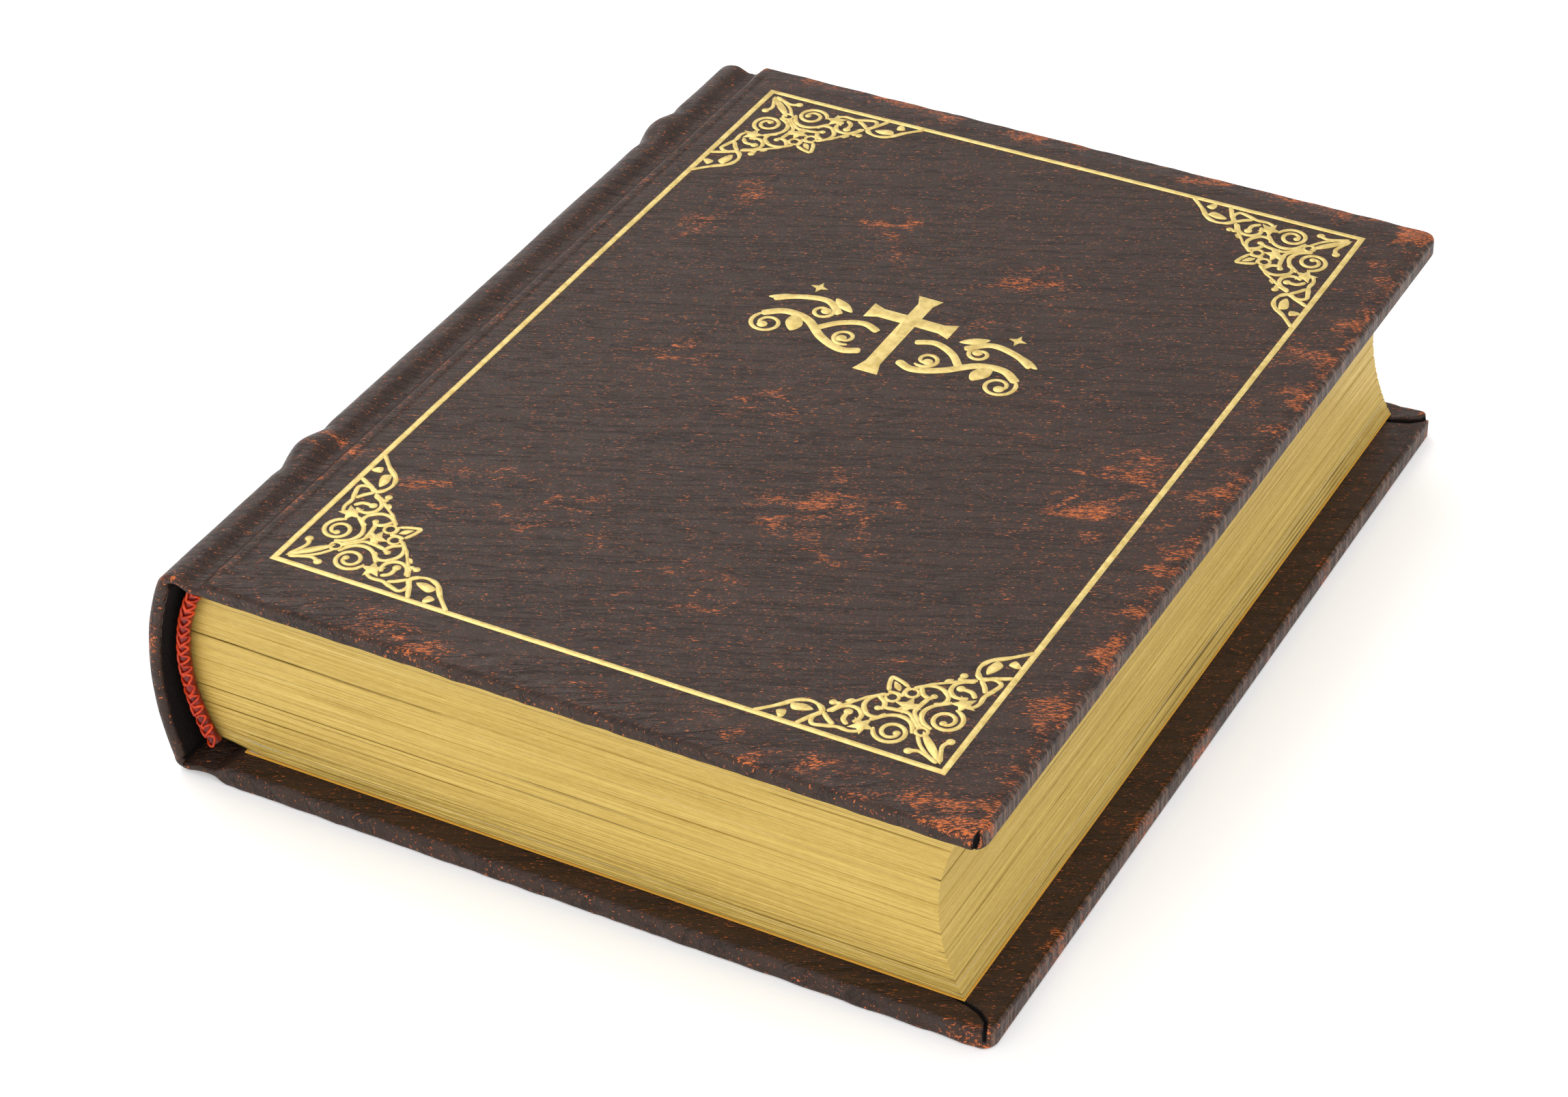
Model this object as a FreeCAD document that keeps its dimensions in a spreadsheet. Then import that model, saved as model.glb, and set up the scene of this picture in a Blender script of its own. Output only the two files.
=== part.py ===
import FreeCAD, Part
import math
import os
import Sketcher

# A large case-bound bible lying on its back cover, in millimetres.
# X runs from the spine to the fore edge, Y from the tail to the head, Z up.
# The origin is on the surface that the back cover rests on, at the middle of the book.

SIZES = [
    # alias, value, what it is
    ("cover_height", 241.0, "covers and spine, tail to head"),
    ("book_thickness", 55.0, "underside of the back cover to top of the front cover"),
    ("cover_thickness", 5.3, "board with its leather on both sides"),
    ("leather_thickness", 1.15, "leather skin"),
    ("board_thickness", 3.0, "grey board inside a cover"),
    ("board_round", 2.5, "corner radius of a board"),
    ("corner_round", 3.5, "corner radius of a covered board"),
    ("edge_round", 2.2, "rounding along a cover's edges"),
    ("joint_edge", 80.7, "origin to the covers' spine-side edge"),
    ("front_fore_edge", 96.7, "origin to the front cover's fore edge"),
    ("back_fore_edge", 99.5, "origin to the back cover's fore edge, a little further out"),
    ("turn_in", 15.0, "leather folded over on to a board's inside"),
    ("infill_thickness", 0.8, "card that levels the turn-ins"),
    ("paste_thickness", 0.35, "endpaper pasted on a cover's inside"),
    ("flyleaf_thickness", 0.3, "free endpaper"),
    ("flyleaf_start", 79.7, "origin to a flyleaf's free part, past the strip glued to the block"),
    ("sheet_clearance", 0.05, "air between a flyleaf and a cover"),
    ("block_clearance", 0.1, "air between a flyleaf and the text block"),
    ("block_tail", 114.4, "origin to the tail of the leaves"),
    ("block_head", 115.5, "origin to the head of the leaves"),
    ("back_crown", 92.5, "origin to the rounded back's crown"),
    ("back_shoulder", 86.5, "origin to the back's two shoulders"),
    ("fore_hollow", 84.8, "origin to the middle of the hollow fore edge"),
    ("fore_rim", 90.7, "origin to the fore edge's two rims"),
    ("middle_gap", 2.0, "room for the loose leaves between the block's halves"),
    ("leaf_thickness", 0.3, "one group of loose leaves"),
    ("leaf_pitch", 0.5, "one loose leaf to the next"),
    ("leaf_start", 90.0, "origin to the loose leaves' folded edge"),
    ("spine_reach", 98.0, "origin to the spine's outermost line"),
    ("spine_radius", 68.0, "spine's long curve"),
    ("spine_centre", 24.0, "height of the long curve's centre"),
    ("shoulder_radius", 6.0, "spine's upper corner"),
    ("shoulder_top", 52.9, "height of the spine's upper corner"),
    ("heel_radius", 2.6, "spine's lower corner"),
    ("heel_bottom", 0.75, "height of the spine's lower corner"),
    ("lip_upper", 86.3, "origin to the spine leather's upper edge"),
    ("lip_lower", 90.8, "origin to the spine leather's lower edge"),
    ("spine_leather_thickness", 1.2, "leather on the spine"),
    ("stiffener_thickness", 1.9, "card inside the hollow spine"),
    ("stiffener_low", 17.0, "stiffener's lower end, degrees below the curve's centre"),
    ("stiffener_high", 21.0, "stiffener's upper end, degrees above the curve's centre"),
    ("band_rise", 1.5, "raised band above the spine"),
    ("band_width", 17.0, "raised band with its sloping sides"),
    ("band_core_width", 9.0, "strip under the leather of a raised band"),
    ("band_tail", 67.0, "origin to the tail band, towards the tail"),
    ("band_head", 87.0, "origin to the head band, towards the head"),
    ("band_low", 14.0, "band's lower end, degrees below the curve's centre"),
    ("band_high", 55.0, "band's upper end on the shoulder, degrees"),
    ("lining_thickness", 0.4, "cloth glued over the sewn backs"),
    ("tape_thickness", 0.4, "linen tape that the sections are sewn on"),
    ("tape_width", 12.0, "linen tape"),
    ("glue_gap", 0.05, "glue between tape, lining and back"),
    ("thread_radius", 0.2, "sewing thread along a section's fold"),
    ("endband_radius", 1.7, "silk endband's round section"),
    ("endband_inset", 0.2, "endband's outermost line inside the lining's"),
    ("endband_reach", 29.0, "endband's end on the back's curve, degrees"),
    ("endband_break", 0.9, "endband's end at the middle of the back, degrees"),
    ("groove_gap", 0.2, "air at the ends of a joint's leather"),
]

SECTIONS_PER_HALF = 7
LOOSE_LEAVES = 3
TAPES = 4

doc = FreeCAD.newDocument("bible")
sheet = doc.addObject("Spreadsheet::Sheet", "Sizes")
for row, (alias, number, note) in enumerate(SIZES, start=1):
    sheet.set(f"A{row}", note)
    sheet.set(f"B{row}", str(number))
    sheet.setAlias(f"B{row}", alias)
doc.recompute()

nodes = []  # every finished sub-part, in the order it is made


def size(alias):
    """A driving dimension read back from the sheet."""
    return float(sheet.get(alias))


def cell(text):
    """An expression in which every alias of the sheet is written as a reference to its cell."""
    words = []
    for word in text.split():
        sign, name = ("-", word[1:]) if word.startswith("-") and len(word) > 1 else ("", word)
        known = any(name == alias for alias, _, _ in SIZES)
        words.append(sign + ("Sizes." + name if known else name))
    return " ".join(words)


def bind(thing, **expressions):
    """Ties properties of an object to expressions of the sheet's aliases."""
    for path, text in expressions.items():
        thing.setExpression(path.replace("__", "."), cell(text))


def finish(thing, label):
    thing.Label = label
    nodes.append(thing)
    return thing


# ---- flat pieces: a padded rectangle ----------------------------------------------------------


def origin_plane(body, role):
    return next(item for item in body.Origin.OriginFeatures if item.Role == role)


def slab(label, x_low, x_high, y_low, y_high, z_low, thickness):
    """A rectangular plate whose outline, height and thickness are tied to the sheet."""
    body = doc.addObject("PartDesign::Body", label)
    sketch = body.newObject("Sketcher::SketchObject", label + "_outline")
    sketch.AttachmentSupport = (origin_plane(body, "XY_Plane"), [""])
    sketch.MapMode = "FlatFace"
    corners = [(-10, -10), (10, -10), (10, 10), (-10, 10)]
    for start, end in zip(corners, corners[1:] + corners[:1]):
        sketch.addGeometry(Part.LineSegment(FreeCAD.Vector(*start, 0), FreeCAD.Vector(*end, 0)))
    for line in range(4):
        sketch.addConstraint(Sketcher.Constraint("Coincident", line, 2, (line + 1) % 4, 1))
    for line, kind in enumerate(("Horizontal", "Vertical", "Horizontal", "Vertical")):
        sketch.addConstraint(Sketcher.Constraint(kind, line))
    edges = [("DistanceX", 0, x_low), ("DistanceY", 0, y_low), ("DistanceX", 2, x_high), ("DistanceY", 2, y_high)]
    for kind, line, text in edges:
        start_value = -10.0 if line == 0 else 10.0
        index = sketch.addConstraint(Sketcher.Constraint(kind, -1, 1, line, 1, start_value))
        sketch.setExpression(f"Constraints[{index}]", cell(text))
    pad = body.newObject("PartDesign::Pad", label + "_pad")
    pad.Profile = sketch
    bind(pad, Length=thickness)
    bind(body, Placement__Base__z=z_low)
    doc.recompute()
    return body


def round_edges(body, radius, wanted):
    """Fillets the edges of a body's tip that the test wanted(edge) picks."""
    tip = body.Tip
    names = [f"Edge{i}" for i, edge in enumerate(tip.Shape.Edges, start=1) if wanted(edge)]
    fillet = body.newObject("PartDesign::Fillet", body.Name + "_round")
    fillet.Base = (tip, names)
    bind(fillet, Radius=radius)
    doc.recompute()


def is_upright(edge):
    box = edge.BoundBox
    return box.XLength < 0.01 and box.YLength < 0.01


def is_level(edge):
    return edge.BoundBox.ZLength < 0.01


def cover(side, fore_edge, outside_low, inside_low, board_low, infill_low, paste_low):
    """A board wrapped in leather, with the card and the endpaper that fill its inside."""
    skin = "leather_thickness"
    half = "cover_height / 2"
    board = slab(
        side + "_board", f"-joint_edge + {skin}", f"{fore_edge} - {skin}",
        f"-cover_height / 2 + {skin}", f"{half} - {skin}", board_low, "board_thickness",
    )
    round_edges(board, "board_round", is_upright)
    wrap = slab(
        side + "_wrap", "-joint_edge", fore_edge, "-cover_height / 2", half, outside_low, "cover_thickness",
    )
    round_edges(wrap, "corner_round", is_upright)
    round_edges(wrap, "edge_round", is_level)
    window = (f"-joint_edge + {skin}", f"{fore_edge} - turn_in", "-cover_height / 2 + turn_in", f"{half} - turn_in")
    infill = slab(side + "_infill", *window, infill_low, "infill_thickness")
    paste = slab(side + "_pastedown", *window, paste_low, "paste_thickness")
    opening = slab(side + "_window", *window, inside_low, "infill_thickness + paste_thickness")
    hollowed = doc.addObject("Part::Cut", side + "_hollowed")
    hollowed.Base = wrap
    hollowed.Tool = board
    leather = doc.addObject("Part::Cut", side + "_leather")
    leather.Base = hollowed
    leather.Tool = opening
    finish(board, side + "_board_core")
    finish(leather, side + "_cover_leather")
    finish(infill, side + "_infill_card")
    finish(paste, side + "_endpaper_pastedown")


# ---- pieces on a curve: sectors of a ring -----------------------------------------------------


def cylinder(name, centre_x, centre_z, radius, y_low, length, low, high):
    """A sector of a cylinder along Y; low and high are degrees above the line towards the spine."""
    part = doc.addObject("Part::Cylinder", name)
    # The local X axis points to the spine, local Y up, and the axis of the cylinder to the head.
    turn = FreeCAD.Rotation(FreeCAD.Vector(-1, 0, 0), FreeCAD.Vector(0, 0, 1), FreeCAD.Vector(0, 1, 0), "ZXY")
    lift = FreeCAD.Rotation(FreeCAD.Vector(0, 0, 1), low)
    part.Placement = FreeCAD.Placement(FreeCAD.Vector(), turn.multiply(lift))
    part.Angle = high - low
    bind(
        part, Radius=radius, Height=length,
        Placement__Base__x=centre_x, Placement__Base__y=y_low, Placement__Base__z=centre_z,
    )
    return part


def ring_sector(name, centre_x, centre_z, inner, outer, y_low, length, low, high):
    """A curved plate: the part of a ring between two angles."""
    cut = doc.addObject("Part::Cut", name)
    cut.Base = cylinder(name + "_outer", centre_x, centre_z, outer, y_low, length, low, high)
    cut.Tool = cylinder(name + "_inner", centre_x, centre_z, inner, y_low, length, 0, 360)
    return cut


def group(name, members):
    together = doc.addObject("Part::Compound", name)
    together.Links = members
    return together


# ---- the text block ---------------------------------------------------------------------------

LEAF_ROOM = "flyleaf_thickness + sheet_clearance + block_clearance"
BLOCK_LOW = f"cover_thickness + {LEAF_ROOM}"
BLOCK_THICKNESS = "( book_thickness - 2 * ( cover_thickness + flyleaf_thickness + sheet_clearance + block_clearance ) )"
HALF_THICKNESS = f"( {BLOCK_THICKNESS} - middle_gap ) / 2"


def sagitta_radius(rise, half_chord):
    return (rise * rise + half_chord * half_chord) / (2 * rise)


def text_block():
    """The whole block with its rounded back and hollow fore edge, padded from tail to head."""
    body = doc.addObject("PartDesign::Body", "text_block")
    sketch = body.newObject("Sketcher::SketchObject", "text_block_section")
    sketch.AttachmentSupport = (origin_plane(body, "XZ_Plane"), [""])
    sketch.MapMode = "FlatFace"
    low = size("cover_thickness") + size("flyleaf_thickness") + size("sheet_clearance") + size("block_clearance")
    high = size("book_thickness") - low
    shoulder, crown = -size("back_shoulder"), -size("back_crown")
    rim, hollow = size("fore_rim"), size("fore_hollow")
    middle = (low + high) / 2
    point = {
        "back_low": FreeCAD.Vector(shoulder, low, 0), "fore_low": FreeCAD.Vector(rim, low, 0),
        "fore_high": FreeCAD.Vector(rim, high, 0), "back_high": FreeCAD.Vector(shoulder, high, 0),
    }
    underside = sketch.addGeometry(Part.LineSegment(point["back_low"], point["fore_low"]))
    fore = sketch.addGeometry(
        Part.Arc(point["fore_low"], FreeCAD.Vector(hollow, middle, 0), point["fore_high"]))
    top = sketch.addGeometry(Part.LineSegment(point["fore_high"], point["back_high"]))
    back = sketch.addGeometry(
        Part.Arc(point["back_high"], FreeCAD.Vector(crown, middle, 0), point["back_low"]))
    # An arc's stored ends run anticlockwise, so the hollow fore edge starts at its upper end.
    joins = [(underside, 2, fore, 2), (fore, 1, top, 1), (top, 2, back, 1), (back, 2, underside, 1)]
    for join in joins:
        sketch.addConstraint(Sketcher.Constraint("Coincident", *join))
    sketch.addConstraint(Sketcher.Constraint("Horizontal", underside))
    sketch.addConstraint(Sketcher.Constraint("Horizontal", top))
    chord = (high - low) / 2
    fixed = [
        ("DistanceX", underside, 1, shoulder, "-back_shoulder"),
        ("DistanceY", underside, 1, low, BLOCK_LOW),
        ("DistanceX", underside, 2, rim, "fore_rim"),
        ("DistanceX", top, 2, shoulder, "-back_shoulder"),
        ("DistanceY", top, 2, high, f"book_thickness - cover_thickness - ( {LEAF_ROOM} )"),
        ("DistanceX", top, 1, rim, "fore_rim"),
    ]
    for kind, line, end, value, text in fixed:
        index = sketch.addConstraint(Sketcher.Constraint(kind, -1, 1, line, end, value))
        sketch.setExpression(f"Constraints[{index}]", cell(text))
    half = f"( {BLOCK_THICKNESS} / 2 )"
    for arc, rise, text in (
        (fore, rim - hollow, "( fore_rim - fore_hollow )"),
        (back, shoulder - crown, "( back_crown - back_shoulder )"),
    ):
        index = sketch.addConstraint(Sketcher.Constraint("Radius", arc, sagitta_radius(rise, chord)))
        sketch.setExpression(f"Constraints[{index}]", cell(f"( {text} * {text} + {half} * {half} ) / ( 2 * {text} )"))
    pad = body.newObject("PartDesign::Pad", "text_block_pad")
    pad.Profile = sketch
    bind(pad, Length="block_head + block_tail")
    bind(body, Placement__Base__y="block_head")
    doc.recompute()
    return body


def layer(name, block, x_low, z_low, thickness):
    """The part of the text block between two levels."""
    box = doc.addObject("Part::Box", name + "_slab")
    bind(
        box, Length=f"{x_low} + fore_rim + 1", Width="block_head + block_tail",
        Height=thickness, Placement__Base__x=f"-1 * ( {x_low} )",
        Placement__Base__y="-block_tail", Placement__Base__z=z_low,
    )
    common = doc.addObject("Part::Common", name)
    common.Base = block
    common.Tool = box
    return common


def sections(block):
    """Folded and sewn sections, numbered from the front cover down, and the loose leaves between."""
    pitch = f"( {HALF_THICKNESS} ) / {SECTIONS_PER_HALF}"
    for half, floor in (("front", f"book_thickness / 2 + middle_gap / 2"), ("rear", BLOCK_LOW)):
        for i in range(SECTIONS_PER_HALF):
            level = SECTIONS_PER_HALF - 1 - i
            number = i + 1 + (0 if half == "front" else SECTIONS_PER_HALF)
            name = f"section_{number:02d}"
            piece = layer(name + "_cut", block, "back_crown + 1", f"{floor} + {level} * {pitch}", pitch)
            finish(piece, name)
    for i in range(LOOSE_LEAVES):
        step = i - (LOOSE_LEAVES - 1) / 2
        name = f"loose_leaves_{i + 1}"
        low = f"book_thickness / 2 - leaf_thickness / 2 + {step} * leaf_pitch"
        finish(layer(name + "_cut", block, "leaf_start", low, "leaf_thickness"), name)


BACK_CHORD = size("book_thickness") / 2 - size("cover_thickness") - size("flyleaf_thickness") \
    - size("sheet_clearance") - size("block_clearance")
BACK_RADIUS = sagitta_radius(size("back_crown") - size("back_shoulder"), BACK_CHORD)
BACK_CENTRE_X = f"{BACK_RADIUS} - back_crown"
BACK_CENTRE_Z = "book_thickness / 2"
HALF_ANGLES = {
    "lower": (-math.degrees(math.asin(BACK_CHORD / BACK_RADIUS)) + 1,
              -math.degrees(math.asin(size("middle_gap") / 2 / BACK_RADIUS))),
    "upper": (math.degrees(math.asin(size("middle_gap") / 2 / BACK_RADIUS)),
              math.degrees(math.asin(BACK_CHORD / BACK_RADIUS)) - 1),
}


def back_of_block(part):
    """Sewing thread, tapes, lining and endbands on one half of the rounded back."""
    low, high = HALF_ANGLES[part]
    tape_inner = f"{BACK_RADIUS} + glue_gap"
    tape_outer = f"{tape_inner} + tape_thickness"
    lining_inner = f"{tape_outer} + glue_gap"
    spacing = f"( block_head + block_tail ) / {TAPES + 1}"
    tapes = []
    for i in range(TAPES):
        start = f"-block_tail + {i + 1} * {spacing} - tape_width / 2"
        name = f"tape_{part}_{i + 1}"
        tapes.append(ring_sector(name, BACK_CENTRE_X, BACK_CENTRE_Z, tape_inner, tape_outer, start, "tape_width", low, high))
    finish(group("tapes_" + part, tapes), "sewing_tapes_" + part)
    lining = ring_sector(
        "lining_" + part, BACK_CENTRE_X, BACK_CENTRE_Z, lining_inner, f"{lining_inner} + lining_thickness",
        "-block_tail + 1", "block_head + block_tail - 2", low, high,
    )
    finish(lining, "spine_lining_" + part)
    threads = []
    sign = -1 if part == "lower" else 1
    pitch = (2 * BACK_CHORD - size("middle_gap")) / 2 / SECTIONS_PER_HALF
    for i in range(SECTIONS_PER_HALF):
        rise = sign * (size("middle_gap") / 2 + (i + 0.5) * pitch)
        angle = math.asin(rise / BACK_RADIUS)
        reach = BACK_RADIUS + size("thread_radius")
        for bay in range(TAPES + 1):
            thread = doc.addObject("Part::Cylinder", f"thread_{part}_{i}_{bay}")
            turn = FreeCAD.Rotation(FreeCAD.Vector(1, 0, 0), -90)
            thread.Placement = FreeCAD.Placement(FreeCAD.Vector(), turn)
            bind(
                thread, Radius="thread_radius", Height=f"{spacing} - tape_width - 2",
                Placement__Base__x=f"{BACK_CENTRE_X} - {reach * math.cos(angle)}",
                Placement__Base__y=f"-block_tail + {bay} * {spacing} + tape_width / 2 + 1",
                Placement__Base__z=f"{BACK_CENTRE_Z} + {reach * math.sin(angle)}",
            )
            threads.append(thread)
    finish(group("threads_" + part, threads), "sewing_thread_" + part)


def endband(place, part):
    """Half of a silk endband, a round bead that follows the back's curve at the head or the tail."""
    near, far = size("endband_break"), size("endband_reach")
    low, high = (-far, -near) if part == "lower" else (near, far)
    bead = doc.addObject("Part::Torus", f"{place}_bead_{part}")
    turn = FreeCAD.Rotation(FreeCAD.Vector(-1, 0, 0), FreeCAD.Vector(0, 0, 1), FreeCAD.Vector(0, 1, 0), "ZXY")
    lift = FreeCAD.Rotation(FreeCAD.Vector(0, 0, 1), low)
    bead.Placement = FreeCAD.Placement(FreeCAD.Vector(), turn.multiply(lift))
    bead.Angle3 = high - low
    level = "-block_tail - endband_radius" if place == "tail" else "block_head + endband_radius"
    bind(
        bead, Radius2="endband_radius", Radius1=f"{BACK_RADIUS} + endband_inset - endband_radius",
        Placement__Base__x=BACK_CENTRE_X, Placement__Base__y=level, Placement__Base__z=BACK_CENTRE_Z,
    )
    finish(bead, f"{place}_endband_{part}")


# ---- the hollow spine -------------------------------------------------------------------------

SPINE_CENTRE_X = size("spine_radius") - size("spine_reach")
SPINE_CENTRE_Z = size("spine_centre")


def corner_centre(radius, height):
    """Centre and angle of a corner arc that continues the long curve at a given centre height."""
    reach = size("spine_radius") - radius
    angle = math.asin((height - SPINE_CENTRE_Z) / reach)
    return SPINE_CENTRE_X - reach * math.cos(angle), height, angle


def on_arc(centre_x, centre_z, radius, angle):
    return FreeCAD.Vector(centre_x - radius * math.cos(angle), 0, centre_z + radius * math.sin(angle))


def arc_edge(centre_x, centre_z, radius, start, end):
    points = [on_arc(centre_x, centre_z, radius, a) for a in (start, (start + end) / 2, end)]
    return Part.Arc(*points).toShape()


def spine_curve(depth, low=None, high=None):
    """The spine's section a depth inside its outer face, from its lower edge to its upper edge.
    Given angles, it starts on the long curve at low and ends on the shoulder at high."""
    heel_r, shoulder_r = size("heel_radius"), size("shoulder_radius")
    heel = corner_centre(heel_r, size("heel_bottom") + heel_r)
    shoulder = corner_centre(shoulder_r, size("shoulder_top") - shoulder_r)
    top = math.pi / 2 if high is None else high
    start = heel[2] if low is None else low
    edges = []
    if low is None:
        heel_end = on_arc(heel[0], heel[1], heel_r - depth, -math.pi / 2)
        lip = FreeCAD.Vector(-size("lip_lower"), 0, heel_end.z)
        edges.append(Part.LineSegment(lip, heel_end).toShape())
        edges.append(arc_edge(heel[0], heel[1], heel_r - depth, -math.pi / 2, heel[2]))
    edges.append(arc_edge(SPINE_CENTRE_X, SPINE_CENTRE_Z, size("spine_radius") - depth, start, shoulder[2]))
    edges.append(arc_edge(shoulder[0], shoulder[1], shoulder_r - depth, shoulder[2], top))
    if high is None:
        crest = on_arc(shoulder[0], shoulder[1], shoulder_r - depth, top)
        lip = FreeCAD.Vector(-size("lip_upper"), 0, crest.z)
        edges.append(Part.LineSegment(crest, lip).toShape())
    return edges


def shell(outer_depth, inner_depth, y_low, length, low=None, high=None):
    """The spine's section between two depths, pushed along Y."""
    outer = spine_curve(outer_depth, low, high)
    inner = spine_curve(inner_depth, low, high)
    ends = [
        Part.LineSegment(outer[0].Vertexes[0].Point, inner[0].Vertexes[0].Point).toShape(),
        Part.LineSegment(outer[-1].Vertexes[-1].Point, inner[-1].Vertexes[-1].Point).toShape(),
    ]
    wire = Part.Wire(Part.__sortEdges__(outer + inner + ends))
    face = Part.Face(wire)
    face.translate(FreeCAD.Vector(0, y_low, 0))
    return face.extrude(FreeCAD.Vector(0, length, 0))


def band_layers(middle):
    """A raised band is a stack of shells, each narrower than the one below it."""
    rise, width, core = size("band_rise"), size("band_width"), size("band_core_width")
    low, high = -math.radians(size("band_low")), math.radians(size("band_high"))
    steps = 5
    solids = []
    for i in range(steps):
        top = rise * (i + 1) / steps
        bottom = rise * i / steps
        taper = math.sin(math.pi / 2 * (i + 0.5) / steps)
        half = (width - (width - core) * taper) / 2
        solids.append(shell(-top, -bottom, middle - half, 2 * half, low, high))
    return solids


def spine():
    half = size("cover_height") / 2
    depth = size("spine_leather_thickness")
    leather = shell(0, depth, -half, 2 * half)
    low, high = -math.radians(size("band_low") - 1), math.radians(size("band_high") - 8)
    core_width = size("band_core_width") - 2
    middles = {"tail": -size("band_tail"), "head": size("band_head")}
    strips = {}
    for place, middle in middles.items():
        for solid in band_layers(middle):
            leather = leather.fuse(solid)
        strips[place] = shell(-(size("band_rise") - depth * 0.6), depth, middle - core_width / 2, core_width, low, high)
    for strip in strips.values():
        leather = leather.cut(strip)
    pieces = {"spine_leather": leather.removeSplitter()}
    pieces.update({f"raised_band_{place}": strip for place, strip in strips.items()})
    for label, shape in pieces.items():
        feature = doc.addObject("Part::Feature", label + "_shape")
        feature.Shape = shape
        finish(feature, label)
    stiffener = ring_sector(
        "stiffener", "spine_radius - spine_reach", "spine_centre",
        "spine_radius - spine_leather_thickness - stiffener_thickness",
        "spine_radius - spine_leather_thickness - glue_gap",
        "1 - cover_height / 2", "cover_height - 2", -size("stiffener_low"), size("stiffener_high"),
    )
    finish(stiffener, "spine_stiffener")


def joint_leather():
    """The strips that bend in the grooves between the covers and the spine."""
    half = size("cover_height") / 2
    gap = size("groove_gap")
    skin = 1.0
    start, end = -size("joint_edge") - gap, -size("lip_upper") + gap
    crest = size("shoulder_top")
    front_top = [(end, crest), (end + 1.7, crest - 0.5), (start - 1.6, crest - 0.5), (start, crest - 0.1)]
    back_start, back_end = start, -size("lip_lower") + gap
    base = size("heel_bottom") + 0.05
    back_bottom = [(back_end, base), (back_end + 4.0, base + 0.5), (back_start, base + 0.8)]
    for label, line, shift in (("front_joint_leather", front_top, -skin), ("back_joint_leather", back_bottom, skin)):
        near = [FreeCAD.Vector(x, -half, z) for x, z in line]
        far = [FreeCAD.Vector(x, -half, z + shift) for x, z in reversed(line)]
        face = Part.Face(Part.makePolygon(near + far + near[:1]))
        feature = doc.addObject("Part::Feature", label + "_strip")
        feature.Shape = face.extrude(FreeCAD.Vector(0, 2 * half, 0))
        finish(feature, label)


def flyleaf(label, z_low):
    """A free endpaper, as tall as the leaves and hinged beside the shoulder of the back."""
    finish(slab(label + "_sheet", "-flyleaf_start", "fore_rim", "-block_tail", "block_head",
                z_low, "flyleaf_thickness"), label)


# ---- build ------------------------------------------------------------------------------------

cover(
    "back", "back_fore_edge", "0", "cover_thickness - infill_thickness - paste_thickness",
    "leather_thickness", "leather_thickness + board_thickness", "cover_thickness - paste_thickness",
)
cover(
    "front", "front_fore_edge", "book_thickness - cover_thickness", "book_thickness - cover_thickness",
    "book_thickness - leather_thickness - board_thickness",
    "book_thickness - cover_thickness + paste_thickness", "book_thickness - cover_thickness",
)
sections(text_block())
for half_name in HALF_ANGLES:
    back_of_block(half_name)
    for end_name in ("tail", "head"):
        endband(end_name, half_name)
flyleaf("back_flyleaf", "cover_thickness + sheet_clearance")
flyleaf("front_flyleaf", "book_thickness - cover_thickness - sheet_clearance - flyleaf_thickness")
spine()
joint_leather()
doc.recompute()

# ---- check and write --------------------------------------------------------------------------

for thing in doc.Objects:
    bad = {"Invalid", "Error"} & set(thing.State)
    if bad:
        raise RuntimeError(f"{thing.Label} is {bad}")
for node in nodes:
    if node.Shape.isNull() or not node.Shape.isValid() or node.Shape.Volume <= 0:
        raise RuntimeError(f"{node.Label} has no valid shape")

os.makedirs("parts", exist_ok=True)
for node in nodes:
    node.Shape.exportStep(f"parts/{node.Label}.step")
    box = node.Shape.BoundBox
    print(f"{node.Label:26s} {len(node.Shape.Solids):3d} solids {node.Shape.Volume:11.1f} mm3  "
          f"x {box.XMin:7.2f} {box.XMax:7.2f}  y {box.YMin:7.2f} {box.YMax:7.2f}  z {box.ZMin:6.2f} {box.ZMax:6.2f}")
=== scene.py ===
import math
import random

import bmesh
import bpy
import numpy as np
from mathutils import Matrix, Vector


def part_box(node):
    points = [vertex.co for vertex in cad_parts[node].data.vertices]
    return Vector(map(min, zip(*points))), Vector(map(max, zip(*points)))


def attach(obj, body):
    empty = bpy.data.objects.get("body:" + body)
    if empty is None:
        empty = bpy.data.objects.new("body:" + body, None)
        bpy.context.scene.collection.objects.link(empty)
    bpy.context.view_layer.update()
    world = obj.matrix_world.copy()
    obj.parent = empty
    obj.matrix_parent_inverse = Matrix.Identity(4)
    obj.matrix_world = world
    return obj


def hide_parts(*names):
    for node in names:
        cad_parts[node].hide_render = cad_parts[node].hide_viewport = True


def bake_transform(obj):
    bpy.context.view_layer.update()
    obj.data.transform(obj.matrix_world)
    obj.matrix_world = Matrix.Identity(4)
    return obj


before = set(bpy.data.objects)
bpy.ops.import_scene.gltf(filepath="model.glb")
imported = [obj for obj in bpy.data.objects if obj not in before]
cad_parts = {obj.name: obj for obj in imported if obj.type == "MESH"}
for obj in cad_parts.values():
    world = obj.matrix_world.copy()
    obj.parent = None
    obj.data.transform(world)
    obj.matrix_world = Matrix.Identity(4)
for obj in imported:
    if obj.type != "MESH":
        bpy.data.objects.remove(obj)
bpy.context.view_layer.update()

# A bible on its back cover. X runs from the spine to the fore edge, Y from the tail to the head.
# The numbers below are millimetres; meshes are scaled to metres when they are made.

MM = 0.001


def corners(node):
    """Lowest and highest corner of a CAD node, in millimetres."""
    low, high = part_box(node)
    return np.array(low) / MM, np.array(high) / MM


# ---- sizes read from the frame ----

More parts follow.
